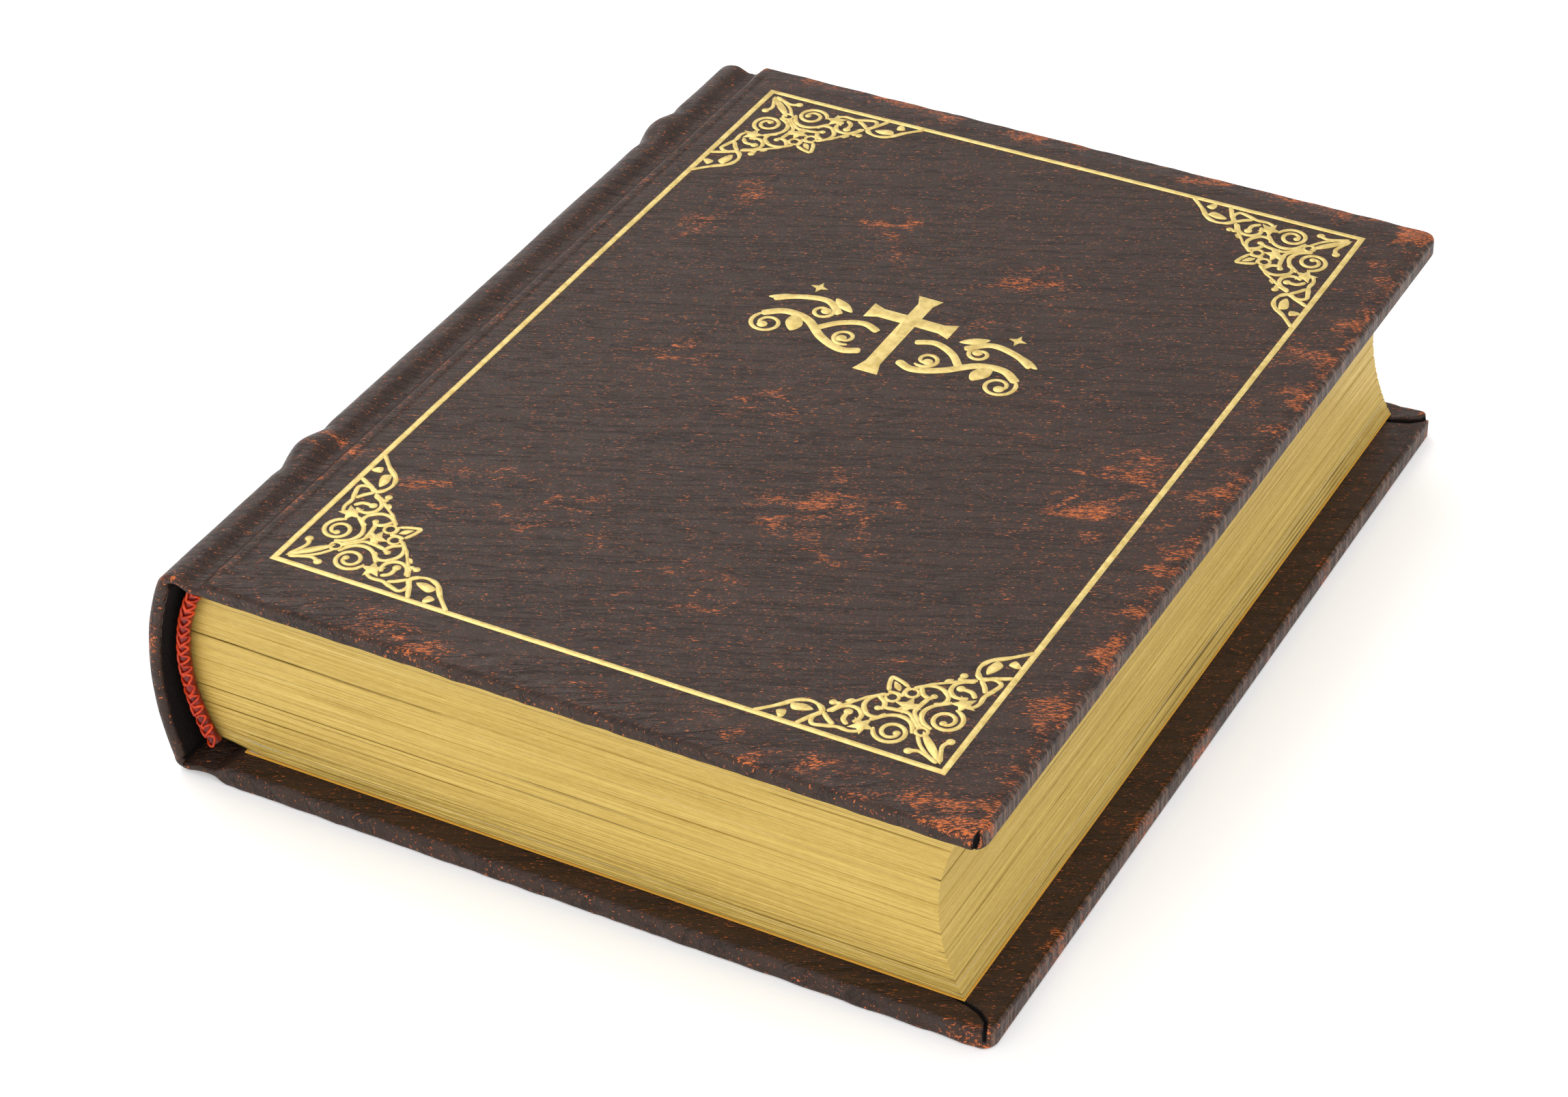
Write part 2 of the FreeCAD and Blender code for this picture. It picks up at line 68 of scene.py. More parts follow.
front_low, front_high = corners("front_cover_leather")
back_low, back_high = corners("back_cover_leather")
_, spine_high = corners("spine_leather")
front_paste_low, front_paste_high = corners("front_endpaper_pastedown")
back_paste_low, back_paste_high = corners("back_endpaper_pastedown")
joint_low, joint_high = corners("front_joint_leather")
first_low, first_high = corners("section_01")
last_low, _ = corners("section_14")
_, loose_high = corners("loose_leaves_2")
band_tail_low, band_tail_high = corners("raised_band_tail")
band_head_low, band_head_high = corners("raised_band_head")

HALF_HEIGHT = front_high[1]
BLOCK_LOW, BLOCK_HIGH = last_low[2], first_high[2]
BLOCK_MIDDLE = (BLOCK_LOW + BLOCK_HIGH) / 2
BLOCK_HALF = (BLOCK_HIGH - BLOCK_LOW) / 2
BLOCK_TAIL, BLOCK_HEAD = first_low[1], first_high[1]
FORE_RIM, FORE_HOLLOW = first_high[0], loose_high[0]
BACK_CROWN, BACK_SHOULDER = -92.5, -86.5
BAND_MIDDLES = (
    (band_tail_low[1] + band_tail_high[1]) / 2,
    (band_head_low[1] + band_head_high[1]) / 2,
)
SPINE_REACH = -98.0

LIP_ROUND = 1.5  # rounding along the spine's two ends
EDGE_ROUND = 0.9  # rounding along a cover's edges
CORNER_ROUND = 3.5  # rounding of a cover's corners in plan


# ---- noise and small helpers ----


def smoothstep(low, high, x):
    t = np.clip((x - low) / (high - low), 0, 1)
    return t * t * (3 - 2 * t)


def bell(x, width):
    return np.exp(-((x / width) ** 2))


def hashed(ix, iy, iz, seed):
    """A repeatable number from 0 to 1 for each lattice point."""
    h = (ix * 73856093) ^ (iy * 19349663) ^ (iz * 83492791) ^ (seed * 2654435761)
    h = h & 0xFFFFFFFF
    h = ((h >> 16) ^ h) * 0x45D9F3B & 0xFFFFFFFF
    h = ((h >> 16) ^ h) * 0x45D9F3B & 0xFFFFFFFF
    h = (h >> 16) ^ h
    return h / 4294967295.0


def value_noise(x, y, z, seed=0):
    """Smooth noise from -1 to 1 on a unit lattice."""
    x, y, z = np.broadcast_arrays(np.asarray(x, float), np.asarray(y, float), np.asarray(z, float))
    ix, iy, iz = (np.floor(c).astype(np.int64) for c in (x, y, z))
    fx, fy, fz = (c - i for c, i in ((x, ix), (y, iy), (z, iz)))
    fx, fy, fz = (f * f * (3 - 2 * f) for f in (fx, fy, fz))
    total = 0
    for dx in (0, 1):
        for dy in (0, 1):
            for dz in (0, 1):
                weight = (fx if dx else 1 - fx) * (fy if dy else 1 - fy) * (fz if dz else 1 - fz)
                total = total + weight * hashed(ix + dx, iy + dy, iz + dz, seed)
    return total * 2 - 1


def new_object(name, verts, faces, smooth_angle=50.0):
    """A mesh object in metres from vertices in millimetres."""
    mesh = bpy.data.meshes.new(name)
    mesh.from_pydata((np.asarray(verts, float) * MM).tolist(), [], faces)
    mesh.validate()
    bm = bmesh.new()
    bm.from_mesh(mesh)
    bmesh.ops.recalc_face_normals(bm, faces=bm.faces)
    bm.to_mesh(mesh)
    bm.free()
    mesh.shade_smooth()
    mesh.set_sharp_from_angle(angle=math.radians(smooth_angle))
    made = bpy.data.objects.new(name, mesh)
    bpy.context.scene.collection.objects.link(made)
    return made


def strips(near, far):
    """Quads between two rows of closed rings of vertex numbers."""
    quads = np.stack([near, np.roll(near, -1, 1), np.roll(far, -1, 1), far], -1)
    return quads.reshape(-1, 4).tolist()


def caps(index):
    """The two end faces of a stack of rings."""
    return [index[0, ::-1].tolist(), index[-1].tolist()]


def grid_quads(index):
    """Quads over a grid of vertex numbers."""
    return np.stack([index[:-1, :-1], index[1:, :-1], index[1:, 1:], index[:-1, 1:]], -1).reshape(-1, 4)


def keep(mesh, name, kind, field, values):
    """Stores a value for each vertex, for the materials to read."""
    attribute = mesh.attributes.new(name, kind, "POINT")
    attribute.data.foreach_set(field, values)


NO_RIM = 1000.0  # a fore edge far beyond the book


def add_rest(piece, wear_and_shade=None, fore=NO_RIM):
    """Keeps each point's place at rest, so that the grain doesn't slide when the leather bends."""
    mesh = piece.data
    co = np.zeros(len(mesh.vertices) * 3, np.float32)
    mesh.vertices.foreach_get("co", co)
    points = co.reshape(-1, 3) / MM
    # Values above zero are wear; values below zero are painted shade.
    worn = np.zeros(len(points)) if wear_and_shade is None else wear_and_shade(points)
    rim = smoothstep(fore - 1.1, fore - 0.5, points[:, 0])
    keep(mesh, "rest", "FLOAT_VECTOR", "vector", co)
    keep(mesh, "wear_and_shade", "FLOAT", "value", worn.astype(np.float32))
    keep(mesh, "rim", "FLOAT", "value", rim.astype(np.float32))
    return piece


# ---- node materials ----


class Nodes:
    """Short names for the shader nodes used below."""

    def __init__(self, name):
        self.material = bpy.data.materials.new(name)
        self.material.use_nodes = True
        self.tree = self.material.node_tree
        self.shader = self.tree.nodes["Principled BSDF"]

    def add(self, kind, **settings):
        node = self.tree.nodes.new(kind)
        for key, value in settings.items():
            setattr(node, key, value)
        return node

    def feed(self, socket, value):
        if isinstance(value, bpy.types.NodeSocket):
            self.tree.links.new(value, socket)
        elif isinstance(value, (tuple, list)) and len(value) == 3 and socket.type == "RGBA":
            socket.default_value = (*value, 1)
        else:
            socket.default_value = value

    def math(self, operation, a, b=0.0, clamp=False):
        node = self.add("ShaderNodeMath", operation=operation, use_clamp=clamp)
        self.feed(node.inputs[0], a)
        self.feed(node.inputs[1], b)
        return node.outputs[0]

    def times(self, a, b, clamp=False):
        return self.math("MULTIPLY", a, b, clamp)

    def plus(self, a, b):
        return self.math("ADD", a, b)

    def minus(self, a, b):
        return self.math("SUBTRACT", a, b)

    def larger(self, a, b):
        return self.math("MAXIMUM", a, b)

    def tint(self, colour, share, strength, other):
        """The colour mixed with another by share x strength."""
        return self.mix(self.times(share, strength), colour, other)

    def range(self, value, low, high, to_low=0.0, to_high=1.0):
        node = self.add("ShaderNodeMapRange", interpolation_type="SMOOTHSTEP")
        for socket, number in zip(node.inputs, (value, low, high, to_low, to_high)):
            self.feed(socket, number)
        return node.outputs[0]

    def mix(self, share, a, b):
        node = self.add("ShaderNodeMix", data_type="RGBA")
        self.feed(node.inputs["Factor"], share)
        self.feed(node.inputs[6], a)
        self.feed(node.inputs[7], b)
        return node.outputs[2]

    def place(self, source, scale=(1, 1, 1), turn=(0, 0, 0)):
        node = self.add("ShaderNodeMapping", vector_type="TEXTURE")
        self.feed(node.inputs["Vector"], source)
        node.inputs["Rotation"].default_value = turn
        node.inputs["Scale"].default_value = [1 / factor for factor in scale]
        return node.outputs[0]

    def noise(self, vector, scale, detail=2.0, rough=0.5, warp=0.0):
        node = self.add("ShaderNodeTexNoise")
        self.feed(node.inputs["Vector"], vector)
        settings = {"Scale": scale, "Detail": detail, "Roughness": rough, "Distortion": warp}
        for key, value in settings.items():
            node.inputs[key].default_value = value
        return node.outputs["Fac"]

    def cells(self, vector, scale, feature="F1"):
        node = self.add("ShaderNodeTexVoronoi", feature=feature)
        self.feed(node.inputs["Vector"], vector)
        node.inputs["Scale"].default_value = scale
        return node.outputs["Distance"]

    def attribute(self, name, kind="Fac"):
        node = self.add("ShaderNodeAttribute", attribute_name=name)
        return node.outputs[kind]

    def here(self):
        """The point's place in its object, which is its place in the frame at rest."""
        return self.add("ShaderNodeTexCoord").outputs["Object"]

    def split(self, vector):
        node = self.add("ShaderNodeSeparateXYZ")
        self.feed(node.inputs[0], vector)
        return node.outputs

    def bump(self, height, distance, strength=1.0, below=None):
        node = self.add("ShaderNodeBump")
        node.inputs["Strength"].default_value = strength
        node.inputs["Distance"].default_value = distance
        self.feed(node.inputs["Height"], height)
        if below is not None:
            self.feed(node.inputs["Normal"], below)
        return node.outputs[0]

    def finish(self, colour, rough, normal=None, **constant):
        self.feed(self.shader.inputs["Base Color"], colour)
        self.feed(self.shader.inputs["Roughness"], rough)
        if normal is not None:
            self.feed(self.shader.inputs["Normal"], normal)
        for key, value in constant.items():
            self.shader.inputs[key.replace("_", " ")].default_value = value
        return self.material


STREAK_TURN = (0, 0, math.radians(23))


def leather_material():
    """Dark waxed leather: streaked grain, thin creases, rust-brown flecks where it is worn, and painted
    shade, near black, where the stored value is below zero.
    """
    n = Nodes("waxed_leather")
    at = n.attribute("rest", "Vector")
    wear_and_shade = n.attribute("wear_and_shade")
    streak = n.place(at, (0.24, 1.0, 0.35), STREAK_TURN)
    long_streak = n.place(at, (0.09, 1.0, 0.25), STREAK_TURN)
    rim = n.attribute("rim")
    cluster = n.noise(n.place(at, (0.6, 1, 0.7), STREAK_TURN), 150, 4, 0.62, 0.5)
    blotch = n.noise(at, 26, 3, 0.6, 0.4)
    flecks = n.noise(streak, 2400, 3, 0.62, 0.8)
    small = n.noise(streak, 3600, 2, 0.6, 0.5)
    crease = n.math("ABSOLUTE", n.minus(n.noise(long_streak, 330, 3, 0.55, 0.9), 0.5))
    crease = n.range(crease, 0.0, 0.030, 1.0, 0.0)
    hatch = n.noise(n.place(at, (0.12, 1, 0.12)), 900, 3, 0.6, 0.3)
    rubbed = n.plus(n.larger(wear_and_shade, 0.0), n.range(blotch, 0.54, 0.76, 0.0, 0.25))
    spread = n.times(n.minus(cluster, 0.5), n.plus(rubbed, 0.30))
    spread = n.times(spread, 3.6)
    worn = n.range(n.plus(rubbed, spread), 0.16, 0.66)
    level = n.plus(flecks, n.times(n.minus(worn, 0.5), 0.14))
    fleck = n.range(level, 0.590, 0.622)
    fine = n.range(n.plus(small, n.times(worn, 0.14)), 0.662, 0.692)
    base = n.mix(n.noise(long_streak, 420, 4, 0.6), (0.0175, 0.0088, 0.0066), (0.060, 0.0335, 0.0240))
    base = n.tint(base, crease, 0.6, (0.010, 0.006, 0.005))
    hatched = n.times(n.range(hatch, 0.48, 0.62), n.times(rim, 0.9))
    base = n.mix(hatched, base, (0.150, 0.090, 0.062))
    tinted = n.mix(n.times(worn, 0.30, True), base, (0.100, 0.030, 0.014))
    rust = n.mix(n.noise(at, 900, 2), (0.16, 0.043, 0.015), (0.48, 0.125, 0.035))
    colour = n.tint(tinted, fleck, 0.9, rust)
    colour = n.tint(colour, fine, 0.85, (0.62, 0.150, 0.036))
    specks = n.range(n.noise(at, 2100, 1), 0.83, 0.86)
    colour = n.tint(colour, specks, 0.5, (0.50, 0.46, 0.42))
    # Painted shade: where the stored value is below zero the leather is painted nearly black.
    colour = n.mix(n.range(wear_and_shade, -0.10, -0.9), colour, (0.003, 0.002, 0.002))
    rough = n.range(n.noise(at, 300, 3), 0.3, 0.7, 0.34, 0.47)
    rough = n.plus(rough, n.times(fleck, 0.12))
    rough = n.larger(rough, n.range(wear_and_shade, -0.10, -0.6))
    wrinkles = n.bump(n.noise(streak, 620, 4, 0.6, 0.7), 0.00085, 0.60)
    wrinkles = n.bump(n.minus(1.0, crease), 0.00016, 0.7, wrinkles)
    grain = n.bump(n.cells(n.place(at, (0.6, 1, 1), STREAK_TURN), 2100), 0.00012, 0.5, wrinkles)
    grain = n.bump(flecks, 0.00014, 0.6, grain)
    grain = n.bump(n.times(hatch, rim), 0.0009, 0.8, grain)
    return n.finish(colour, rough, grain, Specular_IOR_Level=0.21)


def gilt_edge_material():
    """Gold on the cut edges of thousands of leaves: fine lines, with painted shade in the open gaps and
    where the edges stand back.
    """
    n = Nodes("gilt_edge")
    at = n.here()
    depth = n.attribute("depth")
    fine = n.noise(n.place(at, (6, 6, 1000)), 4.2, 3, 0.6)
    band = n.noise(n.place(at, (3, 3, 260)), 1.7, 3, 0.6)
    gap = n.range(n.noise(n.place(at, (5, 5, 900)), 2.0, 1, 0.5), 0.67, 0.74)
    pale = n.range(n.noise(n.place(at, (4, 4, 800)), 2.6, 1, 0.5), 0.70, 0.76)
    gold = n.mix(n.range(fine, 0.3, 0.7), (0.45, 0.29, 0.053), (0.68, 0.485, 0.122))
    gold = n.mix(n.range(band, 0.35, 0.7, 0.0, 0.45), gold, (0.44, 0.29, 0.055))
    gold = n.tint(gold, pale, 0.45, (0.92, 0.74, 0.30))
    # Painted shade: dark lines where the leaves part.
    gold = n.tint(gold, gap, 0.60, (0.17, 0.105, 0.018))
    mottle = n.noise(n.place(at, (1, 1, 4)), 520, 3, 0.65)
    gold = n.mix(n.range(mottle, 0.35, 0.75, 0.0, 0.22), gold, (0.82, 0.62, 0.20))
    # Painted shade where the cut edges stand back, by the depth of their relief.
    gold = n.mix(n.range(depth, 0.10, 0.42, 0.0, 0.92), gold, (0.105, 0.062, 0.010))
    rough = n.range(fine, 0.3, 0.7, 0.52, 0.38)
    normal = n.bump(fine, 0.00010, 0.8)
    normal = n.bump(n.noise(n.place(at, (500, 500, 500)), 3.0, 2), 0.00003, 0.4, normal)
    return n.finish(gold, rough, normal, Metallic=0.25, Specular_IOR_Level=0.4)


def paper_material(name, pale, dark, gilt_rim=False):
    """Laid paper: faint lines, fibres, brown foxing in spots. The cut edges may be gilt."""
    n = Nodes(name)
    at = n.here()
    laid = n.noise(n.place(at, (1, 0.02, 1)), 1100, 1)
    fibre = n.noise(at, 900, 4, 0.7)
    fox = n.range(n.noise(at, 60, 4, 0.65), 0.62, 0.80, 0.0, 0.5)
    colour = n.mix(n.range(fibre, 0.3, 0.7), dark, pale)
    colour = n.tint(colour, laid, 0.12, dark)
    colour = n.tint(colour, fox, 0.5, (0.50, 0.36, 0.20))
    normal = n.bump(fibre, 0.00006, 0.6)
    if gilt_rim:
        x, y, _ = n.split(at)
        rims = [
            n.range(x, (FORE_RIM - 0.60) * MM, (FORE_RIM - 0.30) * MM),
            n.range(y, (BLOCK_TAIL + 0.60) * MM, (BLOCK_TAIL + 0.30) * MM),
            n.range(y, (BLOCK_HEAD - 0.60) * MM, (BLOCK_HEAD - 0.30) * MM),
            n.range(x, FLYLEAF_START + 0.9 * MM, FLYLEAF_START + 0.6 * MM),
        ]
        rim = n.larger(n.larger(rims[0], rims[1]), n.larger(rims[2], rims[3]))
        colour = n.mix(rim, colour, (0.80, 0.42, 0.055))
    return n.finish(colour, 0.8, normal, Specular_IOR_Level=0.25)


def gold_material():
    """Gold leaf pressed into leather: satin, mottled, rubbed thin in places."""
    n = Nodes("gold_leaf")
    at = n.here()
    mottle = n.noise(at, 420, 4, 0.68, 0.5)
    rub = n.range(n.noise(at, 1500, 3, 0.7), 0.66, 0.80)
    colour = n.mix(n.range(mottle, 0.32, 0.70), (0.60, 0.43, 0.125), (0.80, 0.62, 0.235))
    colour = n.tint(colour, rub, 0.5, (0.38, 0.25, 0.055))
    rough = n.range(mottle, 0.3, 0.7, 0.34, 0.50)
    normal = n.bump(n.noise(at, 1300, 3, 0.6), 0.00005, 0.6)
    return n.finish(colour, rough, normal, Metallic=0.40, Specular_IOR_Level=0.4)


def silk_material(name, dark, bright, gloss):
    """Silk wound over a cord: thin strands, glossy."""
    n = Nodes(name)
    at = n.here()
    strands = n.noise(n.place(at, (1, 0.3, 1)), 2600, 2, 0.6)
    shade = n.noise(at, 500, 3, 0.6)
    colour = n.mix(n.range(shade, 0.3, 0.7), dark, bright)
    colour = n.mix(n.times(n.range(strands, 0.5, 0.7), 0.4), colour, dark)
    return n.finish(colour, gloss, n.bump(strands, 0.00006, 0.7), Specular_IOR_Level=0.35)


def weave_material(name, pale, dark, pitch):
    """Plain woven linen from two crossed waves."""
    n = Nodes(name)
    x, y, z = n.split(n.here())
    warp = n.math("SINE", n.times(y, 2 * math.pi / pitch))
    across = n.plus(x, z)
    weft = n.math("SINE", n.times(across, 2 * math.pi / pitch))
    cross = n.times(warp, weft)
    uneven = n.noise(n.here(), 700, 3, 0.6)
    colour = n.mix(n.range(cross, -0.6, 0.6), dark, pale)
    colour = n.mix(n.range(uneven, 0.4, 0.8, 0.0, 0.4), colour, dark)
    return n.finish(colour, 0.88, n.bump(cross, 0.00012, 0.7), Specular_IOR_Level=0.2)


def fibre_material(name, pale, dark, scale):
    """Pressed board, raw leather or twisted thread: mottled fibres."""
    n = Nodes(name)
    at = n.here()
    fibre = n.noise(at, scale, 5, 0.7)
    fleck = n.range(n.noise(n.place(at, (1, 0.3, 1)), scale * 2, 2), 0.62, 0.70)
    colour = n.mix(n.range(fibre, 0.3, 0.7), dark, pale)
    colour = n.tint(colour, fleck, 0.4, dark)
    return n.finish(colour, 0.85, n.bump(fibre, 0.00010, 0.7), Specular_IOR_Level=0.25)


def floor_material():
    n = Nodes("pale_floor")
    tone = n.noise(n.here(), 3, 2)
    colour = n.mix(tone, (0.90, 0.90, 0.90), (0.92, 0.92, 0.92))
    glow = {"Emission_Color": (1, 1, 1, 1), "Emission_Strength": 0.22}
    return n.finish(colour, 0.7, None, Specular_IOR_Level=0.2, **glow)


FLYLEAF_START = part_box("back_flyleaf")[0].x  # metres

LEATHER = leather_material()
GILT_EDGE = gilt_edge_material()
LEAF_PAPER = paper_material("leaf_paper", (0.80, 0.75, 0.63), (0.70, 0.64, 0.50))
ENDPAPER = paper_material("endpaper", (0.74, 0.67, 0.52), (0.62, 0.54, 0.39), gilt_rim=True)
GOLD = gold_material()
SILK_RIM = silk_material("silk_rim", (0.30, 0.010, 0.003), (0.68, 0.060, 0.007), 0.20)
SILK_CORE = silk_material("silk_core", (0.07, 0.003, 0.002), (0.24, 0.009, 0.003), 0.24)
LINEN = weave_material("linen", (0.72, 0.68, 0.57), (0.52, 0.47, 0.37), 0.0011)
TAPE = weave_material("tape", (0.78, 0.74, 0.64), (0.58, 0.53, 0.43), 0.0008)
THREAD = fibre_material("thread", (0.84, 0.80, 0.70), (0.62, 0.57, 0.46), 3000)
BOARD = fibre_material("board", (0.40, 0.37, 0.32), (0.27, 0.25, 0.22), 700)
STRIP = fibre_material("strip", (0.30, 0.19, 0.11), (0.19, 0.11, 0.06), 900)

CAD_FINISHES = {
    "front_board_core": BOARD, "back_board_core": BOARD,
    "front_infill_card": BOARD, "back_infill_card": BOARD, "spine_stiffener": BOARD,
    "front_endpaper_pastedown": ENDPAPER, "back_endpaper_pastedown": ENDPAPER,
    "front_flyleaf": ENDPAPER, "back_flyleaf": ENDPAPER,
    "sewing_tapes_lower": TAPE, "sewing_tapes_upper": TAPE,
    "spine_lining_lower": LINEN, "spine_lining_upper": LINEN,
    "sewing_thread_lower": THREAD, "sewing_thread_upper": THREAD,
    "raised_band_tail": STRIP, "raised_band_head": STRIP,
}
for node_name, finish_material in CAD_FINISHES.items():
    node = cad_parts[node_name]
    if not node.material_slots:
        node.data.materials.append(finish_material)
    for material_slot in node.material_slots:
        material_slot.material = finish_material


# ---- leather skins ----

RIM_STEPS = (0.0, 0.03, 0.12, 0.28, 0.5, 0.8, 1.15, 1.6, 2.2, 2.8, 3.5)


def grid_lines(low, high, step, low_rim, high_rim, dense=()):
    """Grid lines from low to high: close together at a rounded rim and in the dense stretches."""
    rim = np.array(RIM_STEPS)
    starts = low + rim if low_rim else np.array([low])
    ends = high - rim if high_rim else np.array([high])
    inner_low, inner_high = starts.max(), ends.min()
    middle = np.linspace(inner_low, inner_high, max(2, round((inner_high - inner_low) / step) + 1))
    base = np.unique(np.concatenate([starts, middle, ends]))
    extra = [np.arange(a, b, pitch) for a, b, pitch in dense]
    lines = list(base)
    for value in np.concatenate([[], *extra]):
        if low < value < high and np.abs(base - value).min() > 0.06:
            lines.append(value)
    return np.unique(np.round(lines, 4))


def skin(us, vs, top, bottom, fore_round=True, edge_round=EDGE_ROUND):
    """A closed skin over a grid: an upper and a lower sheet with rounded rims, and a wall between.
    Returns points as (u, v, height) and faces; u-low is left square for a joint."""
    u, v = np.meshgrid(us, vs, indexing="ij")
    half = (vs[-1] - vs[0]) / 2
    middle = (vs[-1] + vs[0]) / 2
    reach = half - np.abs(v - middle)
    plan_u, plan_v = u.copy(), v.copy()
    if fore_round:
        reach = np.minimum(reach, us[-1] - u)
        centre = us[-1] - CORNER_ROUND
        p = np.maximum(u - centre, 0)
        q = np.maximum(np.abs(v - middle) - (half - CORNER_ROUND), 0)
        both = (p > 0) & (q > 0)
        share = np.where(both, np.maximum(p, q) / np.maximum(np.hypot(p, q), 1e-9), 1)
        plan_u = np.where(both, centre + p * share, u)
        side = np.sign(v - middle)
        plan_v = np.where(both, middle + side * (half - CORNER_ROUND + q * share), v)
    high, low = top(plan_u, plan_v), bottom(plan_u, plan_v)
    radius = np.minimum(edge_round, (high - low) * 0.46)
    inward = np.maximum(radius - reach, 0)
    drop = radius - np.sqrt(np.maximum(radius**2 - inward**2, 0))
    upper = np.stack([plan_u, plan_v, high - drop], -1)
    lower = np.stack([plan_u, plan_v, low + drop], -1)
    rows, columns = u.shape
    index = np.arange(rows * columns).reshape(rows, columns)
    rim = np.concatenate([index[:-1, 0], index[-1, :-1], index[:0:-1, -1], index[0, :0:-1]])
    walls = 9
    flat_upper, flat_lower = upper.reshape(-1, 3), lower.reshape(-1, 3)
    between = [
        flat_upper[rim] * (1 - k / walls) + flat_lower[rim] * (k / walls) for k in range(1, walls)
    ]
    points = np.concatenate([flat_upper, flat_lower, *between])
    quads = grid_quads(index)
    faces = quads.tolist() + (quads[:, ::-1] + rows * columns).tolist()
    loops = [rim]
    start = 2 * rows * columns
    for k in range(walls - 1):
        loops.append(start + k * len(rim) + np.arange(len(rim)))
    loops.append(rim + rows * columns)
    for above, below in zip(loops, loops[1:]):
        near, far = np.roll(above, -1), np.roll(below, -1)
        faces += np.stack([above, below, far, near], -1).tolist()
    return points, faces


def waviness(x, y):
    """How far the leather's face stands above or below its plane."""
    broad = value_noise(x / 26, y / 30, 0, 3) * 0.10
    streaks = value_noise((x * 0.93 + y * 0.37) / 15, (y * 0.93 - x * 0.37) / 3.4, 0, 5) * 0.035
    return broad + streaks


def puckers(along, seed):
    """Oblique gathers of the leather where it is drawn over an edge."""
    bend = value_noise(along / 11, 0, 0, seed) * 2.2
    fine = value_noise(along / 2.4, 0, 0, seed + 1)
    return np.sin(along / 1.9 + bend) * 0.5 + fine * 0.7


def board_relief(points, seed):
    """Moves a covered board's rim in and out, and its upper rim up and down."""
    x, y, z = points.T
    tail = np.clip(smoothstep(-HALF_HEIGHT + 7, -HALF_HEIGHT + 0.5, y), 0, 1)
    head = smoothstep(HALF_HEIGHT - 7, HALF_HEIGHT - 0.5, y)
    oblique = puckers(x + z * 0.9, seed)
    moved = points.copy()
    size = 0.15
    moved[:, 1] += tail * oblique * size - head * oblique * size
    moved[:, 2] += (tail + head) * 0.05 * puckers(x * 0.8, seed + 4)
    return moved


def side_of(x, y, path):
    """Distance in plan from a line through points, positive to its left."""
    best, sign = np.full(np.shape(x), 1e9), np.ones(np.shape(x))
    for (ax, ay), (bx, by) in zip(path, path[1:]):
        dx, dy = bx - ax, by - ay
        t = np.clip(((x - ax) * dx + (y - ay) * dy) / (dx * dx + dy * dy), 0, 1)
        px, py = x - ax - t * dx, y - ay - t * dy
        away = np.hypot(px, py)
        closer = away < best
        sign = np.where(closer, np.sign(dx * py - dy * px), sign)
        best = np.where(closer, away, best)
    return best * sign


# Where the turned-in leather is folded over itself at the back cover's fore corners, in plan.
FOLD = [
    (84.0, -113.0), (87.9, -113.4), (91.5, -114.2), (95.0, -115.5),
    (97.2, -117.4), (98.0, -119.4), (98.1, -124.0),
]


def fold(x, y):
    """(height, gap, rubbing) of the fold at a place on the back cover; the gap is also painted dark as
    shade.
    """
    beside = side_of(x, -np.abs(y), FOLD) * np.where(y > 0, -1, 1)
    shown = smoothstep(87.0, 89.5, x) * smoothstep(108, 112, np.abs(y))
    raised = smoothstep(91.2, 94.2, x)
    flap = 0.62 * smoothstep(-0.10, 0.12, beside) * np.exp(-np.maximum(beside, 0) / 3.6) * raised
    wide = np.where(y > 0, 0.62, 0.36)
    gap = bell(beside + wide * 1.15, wide) * shown
    return flap * shown - 1.5 * wide * gap, gap, bell(beside - 0.25, 0.35) * shown


# The slit where the leather is folded in at the front cover's fore corners.
SLIT_AT, SLIT_LEAN, SLIT_HALF = 94.9, 0.14, 0.62
SLIT_FOOT, SLIT_TALL, SLIT_MIDDLE = 49.7, 4.5, 51


def slit(points):
    """How open the slit is at a place on the front cover's tail or head face, 0 to 1."""
    x, y, z = points.T
    share = np.clip((z - SLIT_FOOT) / SLIT_TALL, 0, 1)
    half = SLIT_HALF * np.maximum(np.sin(math.pi * share), 0) ** 0.6
    off = np.abs(x - SLIT_AT - SLIT_LEAN * (z - SLIT_MIDDLE))
    on_face = smoothstep(HALF_HEIGHT - 2.2, HALF_HEIGHT - 1.6, np.abs(y))
    return smoothstep(half + 0.10, half - 0.10, off) * on_face * (share > 0.02) * (share < 0.98)


# The front cover: board top, then down over the board's spine side to the middle of the groove.

SEAM = -83.5  # the middle of the front groove
GROOVE = joint_high[2] - 1.1  # floor of the front groove
JOINT_UNDER = joint_low[2] - 0.5
FRONT_TOP, FRONT_UNDER = front_high[2], front_low[2]
GROOVE_EDGE, BOARD_EDGE = -82.6, -78.6  # the leather climbs from the groove to the board's top
CREASE_AT = -76.8  # the fine line beside the joint
UNDER_BOARD, UNDER_STRIP = -80.2, -81.0  # below, the board's face steps to the joint's strip
EDGE_SLOPE, EDGE_FALL = 5.4, 1.25  # the front cover's face slopes down to its tail and head
FORE_SLOPE, FORE_FALL = 3.0, 0.6  # and to its fore edge
HEAD_SHARE = 0.45  # the head falls less than the tail


